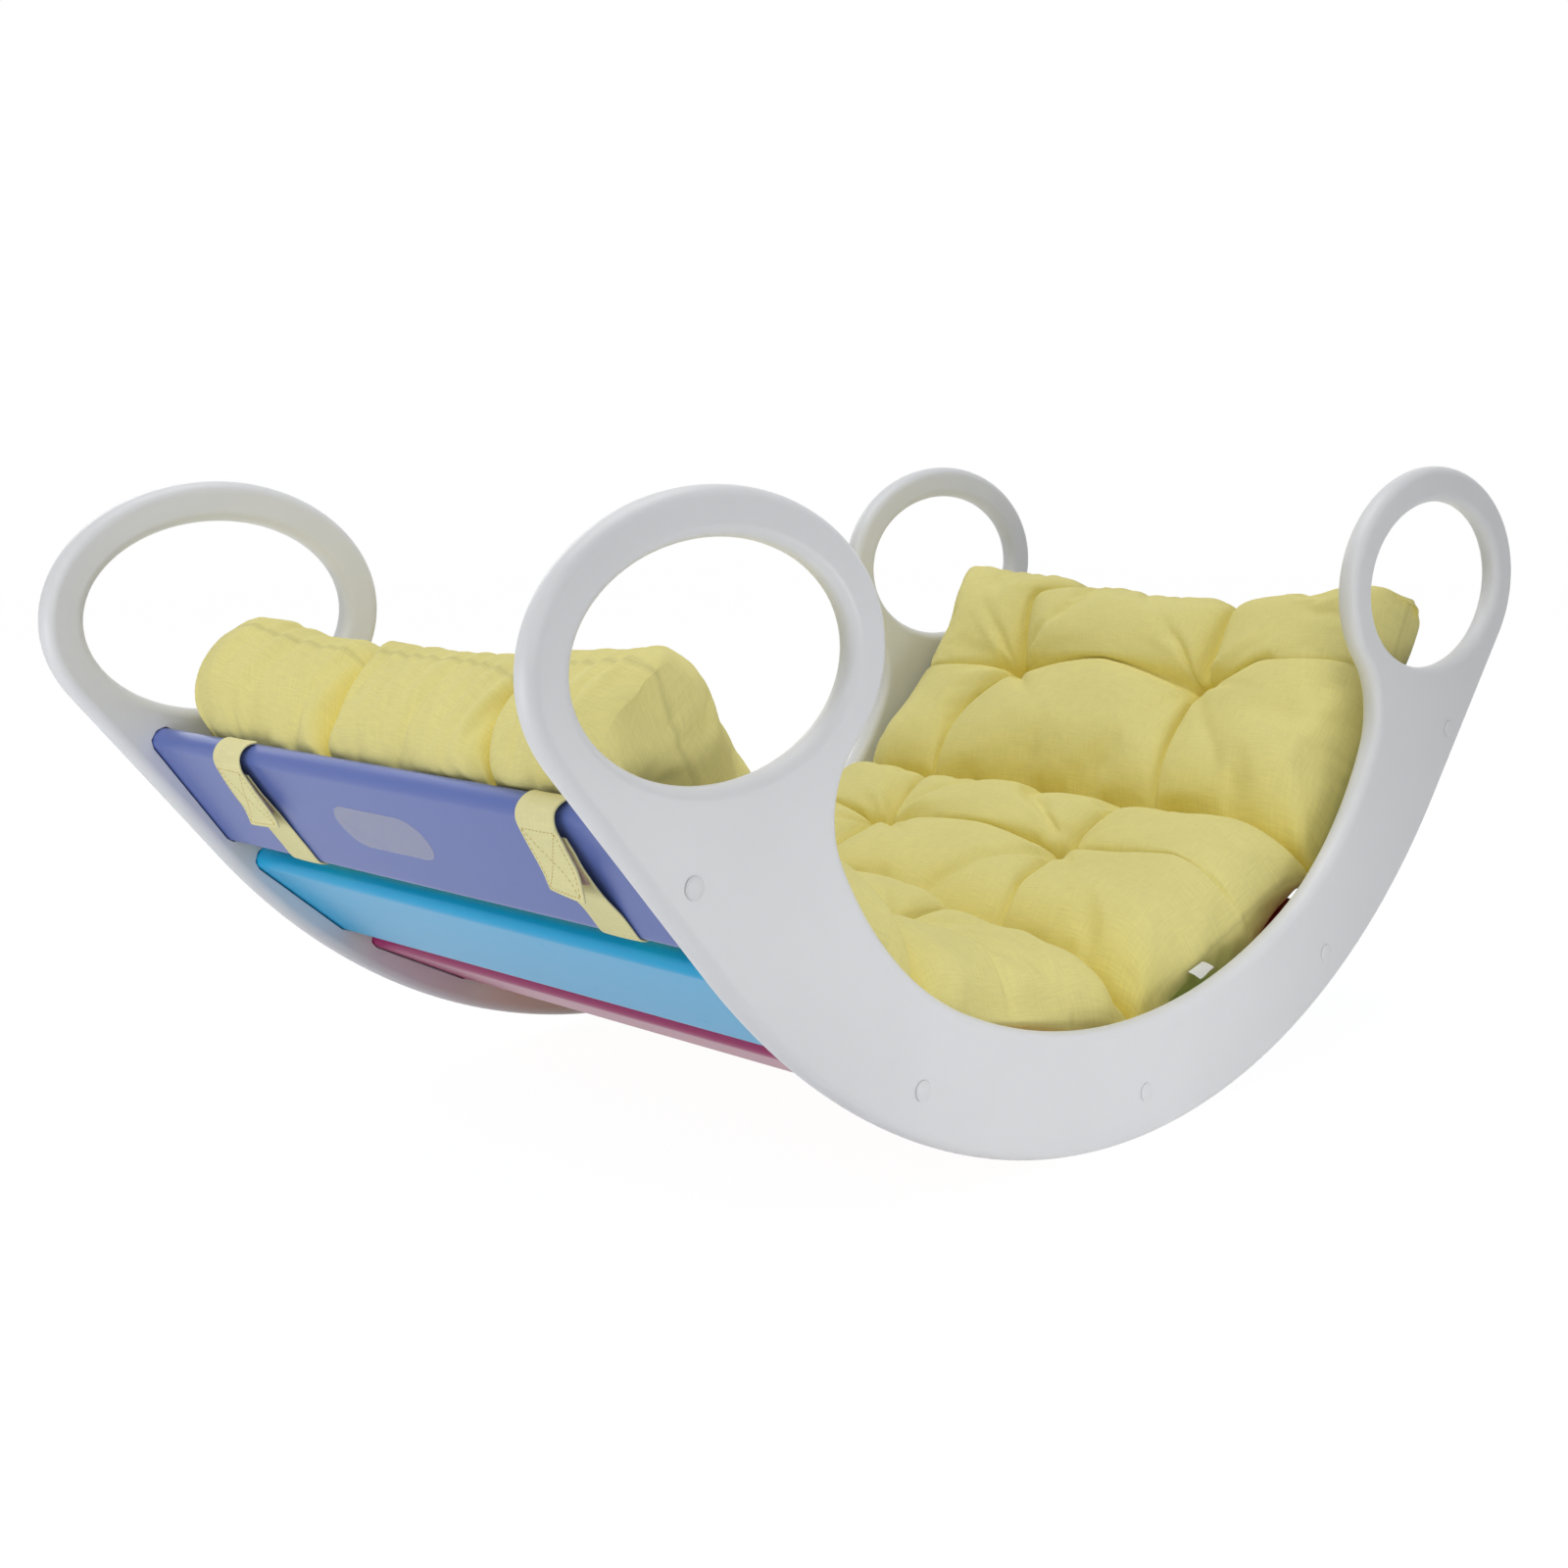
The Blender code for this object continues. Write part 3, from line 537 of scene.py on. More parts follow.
TUFT_SPREAD = 0.045                   # creases are deeper within about this far from a tuft
TUFT_STITCH = 0.009
TUFT_PULL = 0.030                     # the cloth round a stitch is drawn down this far out
TUFT_HOLD = 0.3
TUFT_RAYS = [                         # short folds that run out from a tuft, with their reach
    (0.55, 0.050), (1.10, 0.026), (2.05, 0.030), (2.60, 0.055), (3.75, 0.045), (4.40, 0.022),
    (5.10, 0.028), (5.75, 0.050),
]
RAY_DEPTH = 0.010
RAY_WIDTH = 0.006
RAY_WIDENING = 0.10
GATHER = 0.0022                       # small vertical folds where a free end is gathered to its seam
GATHER_PITCH = 0.021
GATHER_STRAY = 0.006
GATHER_LEVEL = 0.85                   # share of the wall's height where they are deepest
GATHER_SPREAD = 0.4
CREASE_REACH = 0.040
CREASE_SHARE = 3 / 7                  # of the rows of points to each side lie between the creases
CREASE_AT_TUFT = 0.034
CREASE_AT_SEAM = 0.020
CROSS_CREASE = 0.020
CREASE_FADE = 0.06                    # the cross crease fades over this distance outside the tufts
PLEAT_DEPTH = 0.032                   # pleats in the free ends, in line with the tufts
PLEAT_REACH = 0.034
PLEAT_FRONT = 0.7                     # a pleat is this much narrower on its front side
PAD_STEP = 0.0050
PAD_ROWS = 98
SIDE_STEPS = 10
RIM = 0.999                           # a point beyond it is on the rim, or on the top
UNDERSIDE = 0.001
WALL_CLOTH = 0.06                     # cloth between the top's seam and the underside
SEAM_BAND = 0.012                     # the cloth puckers this near to a seam
SIDE_BAND = 0.05                      # cloth counted from a seam to the foot of the wall
FOLD_SHADE_DEPTH = 0.045                    # a fold this deep gets the full painted shade, the deepest yellow
# Painted shade: how the yellow is deepened down in folds and pleats and beside the seams between pads
PAINTED_FOLD_SHADE = (0.0, -0.07, -0.55)
WOBBLE = 0.0016
SEAM_HOLD = 0.5
LOOSE_HOLD = 0.35                     # the underside's, past the top slats' edges
STUFFING_CAP = 0.018
STUFFING = {
    "quality": 6, "mass": 0.15, "tension_stiffness": 25, "compression_stiffness": 25,
    "shear_stiffness": 12, "bending_stiffness": 0.6, "air_damping": 2.0, "use_pressure": True,
    "uniform_pressure_force": 4.0, "vertex_group_mass": "held", "pin_stiffness": 1.0,
}
LEMON = (0.88, 0.797, 0.307)
PAD_BASE = SLAT_ARC_RADIUS - SLAT_SIZE.z / 2 - 0.0003
ARCH_CLEAR = 0.2585                   # half the room between the side boards

# Each pad's highest part, its tufts' depth and how much longer its cloth is cut than its shape. Lift
# and reach give how much higher and longer it lies, from the front side to the rear. Rear and front
# give a crease's place across the arch, from the pad's start to its end, and cross gives how far the
# crease through the tufts wanders along the pad, from the front side to the rear. End is the height
# of a free end's seam, slant how far its pleats lean towards the front on their way down, and gap how
# much more the underside is drawn in along the pad.
PAD_FORMS = {
    1: {
        "crown": 0.106, "tuft": 0.050, "growth": 0.07,
        "lift": ((0, 0),),
        "reach": ((-0.245, 0.008), (0, -0.004), (0.16, -0.016), (0.245, -0.008)),
        "end": ((-0.245, 0.056), (-0.10, 0.066), (-0.02, 0.080), (0.10, 0.083), (0.245, 0.076)),
        "slant": -0.042,
        "rear": ((-1, 0.100), (0, 0.104), (1, 0.112)),
        "front": ((-1, -0.098), (0, -0.104), (1, -0.100)),
        "cross": ((-0.245, 0.008), (0, 0.0), (0.245, -0.006)),
    },
    2: {
        "crown": 0.102, "tuft": 0.034, "growth": 0.05,
        "lift": ((-0.245, -0.018), (-0.16, -0.010), (-0.06, 0.010), (0.245, 0.008)),
        "reach": ((0, 0),),
        "rear": ((-1, 0.108), (0, 0.104), (1, 0.116)),
        "front": ((-1, -0.100), (0, -0.098), (1, -0.088)),
        "cross": ((-0.245, -0.010), (0, 0.004), (0.245, 0.006)),
    },
    3: {
        "crown": 0.101, "tuft": 0.032, "growth": 0.05,
        "gap": ((0.0, 0.0), (0.6, 0.040), (1.0, 0.040)),
        "lift": ((-0.245, -0.010), (-0.15, -0.004), (0, 0.002), (0.245, 0.002)),
        "reach": ((0, 0),),
        "rear": ((-1, 0.118), (0, 0.118), (0.6, 0.124), (1, 0.136)),
        "front": ((-1, -0.098), (0, -0.080), (0.6, -0.090), (1, -0.118)),
        "cross": ((-0.245, 0.034), (-0.09, 0.026), (0.02, 0.034), (0.118, 0.026), (0.245, 0.030)),
    },
    4: {
        "crown": 0.098, "tuft": 0.046, "growth": 0.05,
        "lift": ((0, 0),),
        "reach": ((-0.245, -0.008), (-0.1, -0.014), (0, -0.004), (0.105, 0.006), (0.245, 0.004)),
        "end": ((0, END_SEAM),),
        "rear": ((-1, 0.146), (-0.5, 0.146), (0, 0.118), (0.6, 0.124), (1, 0.082)),
        "front": ((-1, -0.100), (-0.4, -0.094), (0, -0.090), (1, -0.094)),
        "cross": (
            (-0.245, 0.052), (-0.16, 0.034), (-0.09, 0.006), (0.02, 0.018), (0.118, 0.010),
            (0.245, -0.010),
        ),
    },
}


def cotton_cloth():
    """Plain-woven cotton: threads along and across the cloth, slubs, and a soft unevenness of dye.

    Near a seam the cloth puckers, and the seam itself is a thin shaded line. Down in a fold, and beside
    seams between pads, its yellow is painted deeper: painted shade, for light that comes only by the cloth.
    """
    group = shader_group(
        "cotton_cloth",
        [
            ("Colour", "Color", (0.8, 0.7, 0.3, 1)), ("Cloth", "Vector", (0, 0, 0)), ("Seam", "Float", 0.0),
            ("Fold", "Float", 0.0),
        ],
    )
    source = group.nodes["In"].outputs
    cloth, seam = source["Cloth"], source["Seam"]
    threads = []
    for stretch in ((60, 1300, 1), (1300, 60, 1)):
        laid = node(group, "ShaderNodeMapping", {"Scale": stretch}, {"Vector": cloth})
        threads.append(mottle(group, laid.outputs[0], 1.0, 3.0, Roughness=0.6))
    weave = calculated(group, "Math", "ADD", *threads)
    dye = mottle(group, cloth, 14.0, 4.0)
    thread_tone = ranged(group, weave, 0.92, 1.05, 0.7, 1.3)
    dye_tone = ranged(group, dye, 0.97, 1.02, 0.3, 0.7)
    seam_tone = ranged(group, seam, 1.0, 0.86, 0.86, 1.0)
    tone = calculated(group, "Math", "MULTIPLY", thread_tone, dye_tone)
    sewn_tone = calculated(group, "Math", "MULTIPLY", tone, seam_tone)
    # Painted shade: the Fold attribute deepens the yellow down in folds and pleats and beside the seams
    # between pads.
    fold_shade_tint = calculated(group, "VectorMath", "MULTIPLY_ADD", source["Fold"], PAINTED_FOLD_SHADE, (1, 1, 1))
    fold_shaded_colour = calculated(group, "VectorMath", "MULTIPLY", source["Colour"], fold_shade_tint)
    shaded = calculated(group, "VectorMath", "MULTIPLY", fold_shaded_colour, sewn_tone)
    puckered = calculated(group, "Math", "MULTIPLY", mottle(group, cloth, 95.0, 1.0), seam)
    height = calculated(group, "Math", "MULTIPLY_ADD", puckered, 5.0, weave)
    return closed(group, shaded, ranged(group, dye, 0.95, 0.80), height)


COTTON = cotton_cloth()


def laid_on_cloth(material):
    """Gives a material's group the cloth's own coordinates, and returns both node tree and group."""
    tree = material.node_tree
    worked = next(item for item in tree.nodes if item.type == "GROUP")
    cloth = node(tree, "ShaderNodeUVMap", uv_map="cloth")
    tree.links.new(cloth.outputs["UV"], worked.inputs["Cloth"])
    return tree, worked


def cotton(name, colour):
    made = finish(
        name, COTTON, {"Colour": (*colour, 1)}, 0.35, 0.0004, Sheen_Weight=0.02, Sheen_Roughness=0.4,
    )
    tree, worked = laid_on_cloth(made)
    # Seam carries the seams' puckers and shaded line, Fold the painted shade in folds.
    for label in ("Seam", "Fold"):
        mark = node(tree, "ShaderNodeAttribute", attribute_name=label.lower())
        tree.links.new(mark.outputs["Fac"], worked.inputs[label])
    return made


PAD_COTTON = cotton("pad_cotton", LEMON)


def angle_of(point):
    """Angle round the slat arc, from straight down."""
    return math.atan2(point.x, SLAT_ARC_TOP - point.z)


def swell(distance, reach):
    """How a stuffed pad gains height from a seam: steep at the seam and level at its reach."""
    share = min(max(distance / reach, 0), 1)
    return (1 - (1 - share) ** 2.4) ** (1 / 2.4)


def between(table, place):
    """Reads a smooth value from pairs of place and value."""
    if place <= table[0][0]:
        return table[0][1]
    for (left, low), (right, high) in zip(table, table[1:]):
        if place <= right:
            share = (place - left) / (right - left)
            return low + (high - low) * share * share * (3 - 2 * share)
    return table[-1][1]


def stuffed(piece, growth, cap, steps=20):
    """Lets the stuffing press a pad's cloth out from its held points, by no more than a cap."""
    shape = [vert.co.copy() for vert in piece.data.vertices]
    cloth = piece.modifiers.new("stuffing", "CLOTH")
    for key, value in STUFFING.items():
        setattr(cloth.settings, key, value)
    cloth.settings.shrink_min = -growth
    cloth.settings.effector_weights.gravity = 0
    cloth.point_cache.frame_start = 1
    cloth.point_cache.frame_end = steps
    scene = bpy.context.scene
    for frame_number in range(1, steps + 1):
        scene.frame_set(frame_number)
    pressed = evaluated_mesh(piece)
    piece.modifiers.clear()
    for vert, before, after in zip(piece.data.vertices, shape, pressed.vertices):
        moved = after.co - before
        if moved.length > 1e-6:
            moved *= cap * math.tanh(moved.length / cap) / moved.length
        vert.co = before + moved
    scene.frame_set(1)
    bpy.data.meshes.remove(pressed)


def tufts_of(number):
    """A pad's two tufts: the crease each lies on, its place, and the short folds that leave it."""
    form = PAD_FORMS[number]
    tufts = []
    for side in ("rear", "front"):
        across = between(form[side], 0)
        rays = []
        for i, (turn, long) in enumerate(TUFT_RAYS):
            bent = turn + 0.5 * noise.noise(Vector((number * 3.1, across * 9, i * 1.7)))
            rays.append((math.cos(bent), math.sin(bent), long))
        tufts.append((form[side], between(form["cross"], across), across, rays))
    return tufts


def mattress_pad(number):
    """A pad as a top, an underside and a wall between them, laid on the slats' arc and stuffed.

    On the flat, u and v run from -1 to 1 along and across the pad, and level from 0 to 1 up its wall.
    """
    name = f"mattress_pad_{number}"
    form = PAD_FORMS[number]
    tufts = tufts_of(number)
    free_end = {1: -1, 4: 1}.get(number, 0)
    angles = [angle_of(vert.co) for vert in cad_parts[name].data.vertices]
    start = -MATTRESS_END if free_end < 0 else min(angles)
    end = MATTRESS_END if free_end > 0 else max(angles)
    half_length = (end - start) / 2 * PAD_BASE
    half_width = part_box(name)[1][1]
    slant = form.get("slant", 0)
    gap = form.get("gap", ((0, 0),))

    def flat_place(spot):
        u, v, level = spot
        drop = (1 - level) * WALL_CLOTH
        return u * half_length + drop * u, v * half_width + drop * v

    def width_at(u):
        return half_width - SIDE_DRAW * (1 - u * u)

    def seam_height(u, v, across):
        cross = between(form["end"], across) if u * free_end > 0 else FOLD_SEAM
        if abs(v) < RIM:
            return cross
        return cross + (SIDE_SEAM - cross) * (1 - u * u)

    def pleat(across, u):
        """How near a place across the arch is to a crease that runs on over the free end."""
        nearest = 0
        for crease, *_ in tufts:
            aside = across - between(crease, u)
            reach = PLEAT_REACH if aside > 0 else PLEAT_FRONT * PLEAT_REACH
            nearest = max(nearest, 1 - swell(abs(aside), reach))
        return nearest

    def place_across(u, v, lean):
        """Where a point lies across the arch, with the same rows of points on each crease."""
        wide = width_at(u)
        rear, front = between(form["rear"], u) + lean, between(form["front"], u) + lean
        if v > CREASE_SHARE:
            return rear + (wide - rear) * (v - CREASE_SHARE) / (1 - CREASE_SHARE)
        if v < -CREASE_SHARE:
            return front - (wide + front) * (-v - CREASE_SHARE) / (1 - CREASE_SHARE)
        return front + (rear - front) * (v + CREASE_SHARE) / (2 * CREASE_SHARE)

    def top_height(u, v, along, across):
        """The top's height over the slats, and its painted shade, deepest down in a fold and beside a seam
        between pads.
        """
        edge = half_length - abs(u) * half_length
        full = swell(edge, min(CROWN_REACH, half_length))
        full *= swell(width_at(u) - abs(across), SIDE_REACH)
        deepest = 0
        cross_line = between(form["cross"], across)
        for crease, tuft_x, tuft_y, rays in tufts:
            far = math.hypot(along - tuft_x, across - tuft_y)
            deepest = max(deepest, form["tuft"] * (1 - swell(far, TUFT_REACH)))
            near_tuft = math.exp(-((far / TUFT_SPREAD) ** 2))
            run = CREASE_AT_SEAM + (CREASE_AT_TUFT - CREASE_AT_SEAM) * near_tuft
            aside = abs(across - between(crease, u))
            deepest = max(deepest, run * (1 - swell(aside, CREASE_REACH)))
            outside = max(abs(across) - abs(tuft_y), 0)
            level = CROSS_CREASE * math.exp(-outside / CREASE_FADE)
            run = level + (CREASE_AT_TUFT - level) * near_tuft
            deepest = max(deepest, run * (1 - swell(abs(along - cross_line), CREASE_REACH)))
        for crease, tuft_x, tuft_y, rays in tufts:
            for cosine, sine, long in rays:
                run = (along - tuft_x) * cosine + (across - tuft_y) * sine
                off = abs((across - tuft_y) * cosine - (along - tuft_x) * sine)
                if run > 0:
                    narrowing = max(1 - off / (RAY_WIDTH + RAY_WIDENING * run), 0)
                    deepest += RAY_DEPTH * math.exp(-run / long) * narrowing
        crown = form["crown"] + between(form["lift"], across)
        foot = seam_height(u, 0, across) if u * free_end > 0 else FOLD_SEAM
        low = FOLD_SEAM + (foot - FOLD_SEAM) * max(u * free_end, 0) ** 2
        # Painted shade next to a seam between two pads, where the top dips down to it.
        sewn = 0 if u * free_end > 0 else 1 - swell(edge, CROWN_REACH)
        return low + (crown - deepest - low) * full, max((deepest / FOLD_SHADE_DEPTH) ** 1.5, sewn)

    def hold_at(u, v, level, along, across, angle):
        """How firmly a point is held while the cloth is pressed out."""
        hold = 0.0
        if level < UNDERSIDE:
            hold = 1.0 if abs(angle) < TOP_SLAT_EDGE else LOOSE_HOLD
        elif abs(u) > RIM and not u * free_end > 0:
            hold = 1.0
        elif level > RIM and max(abs(u), abs(v)) > RIM:
            hold = SEAM_HOLD
        for crease, tuft_x, tuft_y, rays in tufts:
            far = math.hypot(along - tuft_x, across - tuft_y)
            if level > RIM and far < TUFT_PULL:
                hold = max(hold, 1.0 if far < TUFT_STITCH else TUFT_HOLD * (1 - far / TUFT_PULL))
        return hold

    bm = bmesh.new()
    for height in (1, 0):
        bmesh.ops.create_grid(
            bm, x_segments=2 * round(half_length / PAD_STEP), y_segments=PAD_ROWS, size=1,
            matrix=Matrix.Translation((0, 0, height)),
        )
    rims = [edge for edge in bm.edges if edge.is_boundary]
    walls = bmesh.ops.bridge_loops(bm, edges=rims)["edges"]
    bmesh.ops.subdivide_edges(bm, edges=walls, cuts=SIDE_STEPS - 1, use_grid_fill=True)
    laid_out(bm, flat_place)
    near_seam = bm.verts.layers.float.new("seam")
    # Painted shade in the folds and pleats, read by the material as the fold attribute.
    fold_shade_layer = bm.verts.layers.float.new("fold")
    held = {}
    for vert in bm.verts:
        u, v, level = vert.co
        freedom = max(u * free_end, 0)
        lean = slant * (1 - level) * freedom ** 4
        across = place_across(u, v, lean)
        fold = pleat(across - lean, u)
        drawn = END_DRAW * freedom ** 2 * (1 - v * v) + PLEAT_DEPTH * fold * freedom ** 5
        drawn += END_CORNER * (freedom * abs(v)) ** 12 - between(form["reach"], across) * freedom ** 2
        strayed = across + GATHER_STRAY * noise.noise(Vector((across * 30, number, 2)))
        gathers = math.sin(2 * math.pi * strayed / GATHER_PITCH)
        gathers *= GATHER * freedom ** 12 * (1 - v ** 8)
        drawn += gathers * math.exp(-(((level - GATHER_LEVEL) / GATHER_SPREAD) ** 2))
        along = u * (half_length - drawn) + between(form["cross"], across) * (1 - u * u)
        tuck = math.pi / 2 * (1 - level)
        if level > RIM:
            height, painted_shade = top_height(u, v, along, across)
            if max(abs(u), abs(v)) > RIM:
                height = seam_height(u, v, across)
        else:
            height = seam_height(u, v, across) * (1 - math.sin(tuck))
            # Painted shade in the free end's pleats.
            painted_shade = fold * freedom ** 5
        vert[fold_shade_layer] = min(painted_shade, 1)
        under = 1 - math.cos(tuck)
        rounding = CORNER_UNDERCUT * freedom ** 6 * abs(v) ** 3
        along -= u * under * ((END_UNDERCUT if freedom else FOLD_UNDERCUT) + rounding)
        across -= v * under * (SIDE_UNDERCUT + rounding + between(gap, u))
        angle = (start + end) / 2 + along / PAD_BASE
        wobble = noise.noise_vector(Vector((angle * 9, across * 14, number))) * WOBBLE
        hold = hold_at(u, v, level, along, across, angle)
        held[vert.index] = hold
        to_rim = min((1 - abs(u)) * half_length, (1 - abs(v)) * half_width)
        if level < RIM:
            to_rim = (1 - level) * SIDE_BAND if level > UNDERSIDE else 1
        vert[near_seam] = max(1 - to_rim / SEAM_BAND, 0)
        reach = PAD_BASE - height
        vert.co = (reach * math.sin(angle), across, SLAT_ARC_TOP - reach * math.cos(angle))
        if hold == 0:
            vert.co += wobble
    bmesh.ops.recalc_face_normals(bm, faces=bm.faces)
    piece = shown(f"stuffed_pad_{number}", bm, PAD_COTTON, "arch")
    group = piece.vertex_groups.new(name="held")
    for index, hold in held.items():
        if hold:
            group.add([index], hold, "REPLACE")
    stuffed(piece, form["growth"], STUFFING_CAP)
    piece.vertex_groups.clear()

    for vert in piece.data.vertices:
        angle = angle_of(vert.co)
        radius = math.hypot(vert.co.x, SLAT_ARC_TOP - vert.co.z)
        if not free_end < 0:
            angle = max(angle, start)
        if not free_end > 0:
            angle = min(angle, end)
        if abs(angle) < TOP_SLAT_EDGE:
            radius = min(radius, PAD_BASE)
        across = max(-ARCH_CLEAR, min(ARCH_CLEAR, vert.co.y))
        vert.co = (radius * math.sin(angle), across, SLAT_ARC_TOP - radius * math.cos(angle))
    finer(piece)
    piece.data.shade_smooth()
    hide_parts(name)
    return piece


pads = [mattress_pad(number) for number in PAD_FORMS]

# Straps. A doubled tape of the mattress's cotton comes from under it over each top slat's edge and
# closes on the slat's outer face with hook tape, on the loop patch of a tail that comes up from
# below. Its end stands off a little and is topstitched with a cross in a box.
STRAP_WIDTH = 0.0355
STRAP_CLOTH = 0.0020
TAIL_CLOTH = 0.0015
TAPE_CLOTH = 0.0009
HOOK_WIDTH = 0.031
TAPE_STEP = 0.0022
TAPE_COLUMNS = 16
HOOK_SPAN = (0.034, 0.003)            # where the hook tape starts and ends on the flap
LOOP_SPAN = (0.003, 0.0385)           # and the loop patch on the tail
STITCH_TOP = 0.0455
STITCH_INSET = 0.0030
STITCH_PITCH = 0.0034
STITCH_SIZE = (0.0013, 0.00032, 0.00022)
STITCH_LIFT = STRAP_CLOTH / 2 + 0.00005
HOOK_LIFT = -(STRAP_CLOTH + TAPE_CLOTH) / 2 - 0.0001
LOOP_LIFT = (TAIL_CLOTH + TAPE_CLOTH) / 2
LINE_STEPS = 12                       # between two stations of a tape's line
LINE_MARKS = 400                      # places tried along a tape for a height over the slat
OVER_EDGE = 0.012                     # twice the way out from which a tape lies on the outer face
OUTER_RUN = 0.018                     # and from which it has come down from its fold
BOW = 0.0004                          # a tape's middle stands out this far from its edges
WANDER = 0.0004                       # and its line strays this far
HEM_SLOPE = 3
HEM_START = 2.2

# The cloth's middle line beside a top slat, in millimetres. The first two numbers are for its rear
# edge and the last two for its front edge: up from the slat's middle line, and out from its middle
# plane.
STRAP_PATHS = {
    "front": [
        (53.0, -6.6, 53.0, -6.6), (55.2, -3.6, 55.2, -3.6), (56.4, 0.0, 56.6, 0.0),
        (56.6, 4.4, 57.2, 4.6), (55.5, 8.8, 56.4, 8.6), (52.6, 12.3, 53.6, 11.7),
        (48.6, 14.2, 48.6, 14.1), (41.0, 15.5, 41.2, 15.2), (30.6, 16.8, 30.6, 16.6),
        (17.4, 18.1, 18.6, 17.9), (10.0, 19.1, 10.8, 20.4), (4.6, 20.4, 4.2, 23.2),
        (-0.3, 21.4, -1.2, 25.8),
    ],
    "rear": [
        (53.0, -6.6, 53.0, -6.6), (55.2, -3.6, 55.2, -3.6), (56.4, 0.0, 56.8, 0.0),
        (56.2, 4.8, 57.2, 4.4), (54.2, 9.4, 55.6, 9.4), (50.6, 12.5, 52.4, 12.6),
        (46.0, 14.0, 46.4, 15.2), (40.0, 14.8, 39.8, 15.8), (31.6, 15.7, 31.4, 16.2),
        (19.8, 16.4, 21.5, 16.5), (9.7, 16.8, 8.4, 17.0), (1.2, 18.5, 1.6, 17.3),
        (-5.2, 20.4, -4.4, 18.8),
    ],
}
TAIL_WRAP = [
    (-52.8, -6.4), (-54.4, -3.3), (-54.6, 0.0), (-54.2, 3.6), (-52.2, 7.1), (-49.2, 9.3), (-45.5, 10.05),
]
TAIL_PATHS = {
    "front": TAIL_WRAP + [
        (-37, 10.3), (-26, 10.9), (-13, 12.8), (0, 13.9), (12, 14.0), (20, 13.6), (27, 12.8),
        (33, 12.5), (39, 12.1),
    ],
    "rear": TAIL_WRAP + [
        (-37, 10.1), (-26, 10.2), (-13, 10.4), (0, 10.8), (12, 11.4), (20, 12.0), (27, 11.9),
        (33, 11.8), (39, 11.6),
    ],
}
STRAP_MIDDLE = {"front": -0.1892, "rear": 0.1488}
TAIL_MIDDLE = {"front": -0.1890, "rear": 0.1535}
# Painted light: the straps' cotton is the pads' cotton painted paler, standing in for the brighter light on
# the straps.
STRAP_COTTON_PAINTED_PALER = cotton("strap_cotton", (0.90, 0.84, 0.44))


def napped_tape(name, rows):
    """Hook or loop tape: close rows of tiny hooks or a brushed pile, on a woven ground."""
    group = shader_group(name, [("Colour", "Color", (0.8, 0.6, 0.5, 1)), ("Cloth", "Vector", (0, 0, 0))])
    source = group.nodes["In"].outputs
    cloth = source["Cloth"]
    rows = {"Scale": rows, "Randomness": 0.35}
    hooks = node(group, "ShaderNodeTexVoronoi", rows, {"Vector": cloth}).outputs["Distance"]
    nap = mottle(group, cloth, 220.0, 4.0)
    dots = ranged(group, hooks, 1.06, 0.72, 0.0, 0.6)
    patchy = ranged(group, nap, 0.93, 1.03, 0.3, 0.7)
    tone = calculated(group, "Math", "MULTIPLY", dots, patchy)
    shaded = calculated(group, "VectorMath", "MULTIPLY", source["Colour"], tone)
    height = calculated(group, "Math", "SUBTRACT", 1.0, hooks)
    return closed(group, shaded, ranged(group, nap, 0.70, 0.92), height)


def tape_finish(name, group, colour):
    made = finish(name, group, {"Colour": (*colour, 1)}, 0.5, 0.0003)
    laid_on_cloth(made)
    return made


HOOK_TAPE = tape_finish("hook_tape", napped_tape("hook_rows", 900.0), (0.74, 0.50, 0.44))
LOOP_TAPE = tape_finish("loop_tape", napped_tape("loop_pile", 1500.0), (0.80, 0.60, 0.50))
THREAD = cotton("sewing_thread", (0.66, 0.50, 0.14))


def smooth_line(stations, step):
    """Runs smoothly through the stations, in even steps."""
    fine = []
    for i in range(len(stations) - 1):
        first = stations[max(i - 1, 0)]
        left, right = stations[i], stations[i + 1]
        last = stations[min(i + 2, len(stations) - 1)]
        for share in (j / LINE_STEPS for j in range(LINE_STEPS)):
            bend = (right - first) * share + (2 * first - 5 * left + 4 * right - last) * share ** 2
            bend += (3 * left - first - 3 * right + last) * share ** 3
            fine.append(left + bend / 2)
    fine.append(stations[-1])
    lengths = [0.0]
    for before, after in zip(fine, fine[1:]):
        lengths.append(lengths[-1] + (after - before).length / math.sqrt(len(after) / 2))
    count = round(lengths[-1] / step)
    line = []
    at = 0
    for i in range(count + 1):
        target = lengths[-1] * i / count
        while at < len(fine) - 2 and lengths[at + 1] < target:
            at += 1
        share = (target - lengths[at]) / (lengths[at + 1] - lengths[at])
        line.append(fine[at].lerp(fine[at + 1], share))
    return line, lengths[-1]


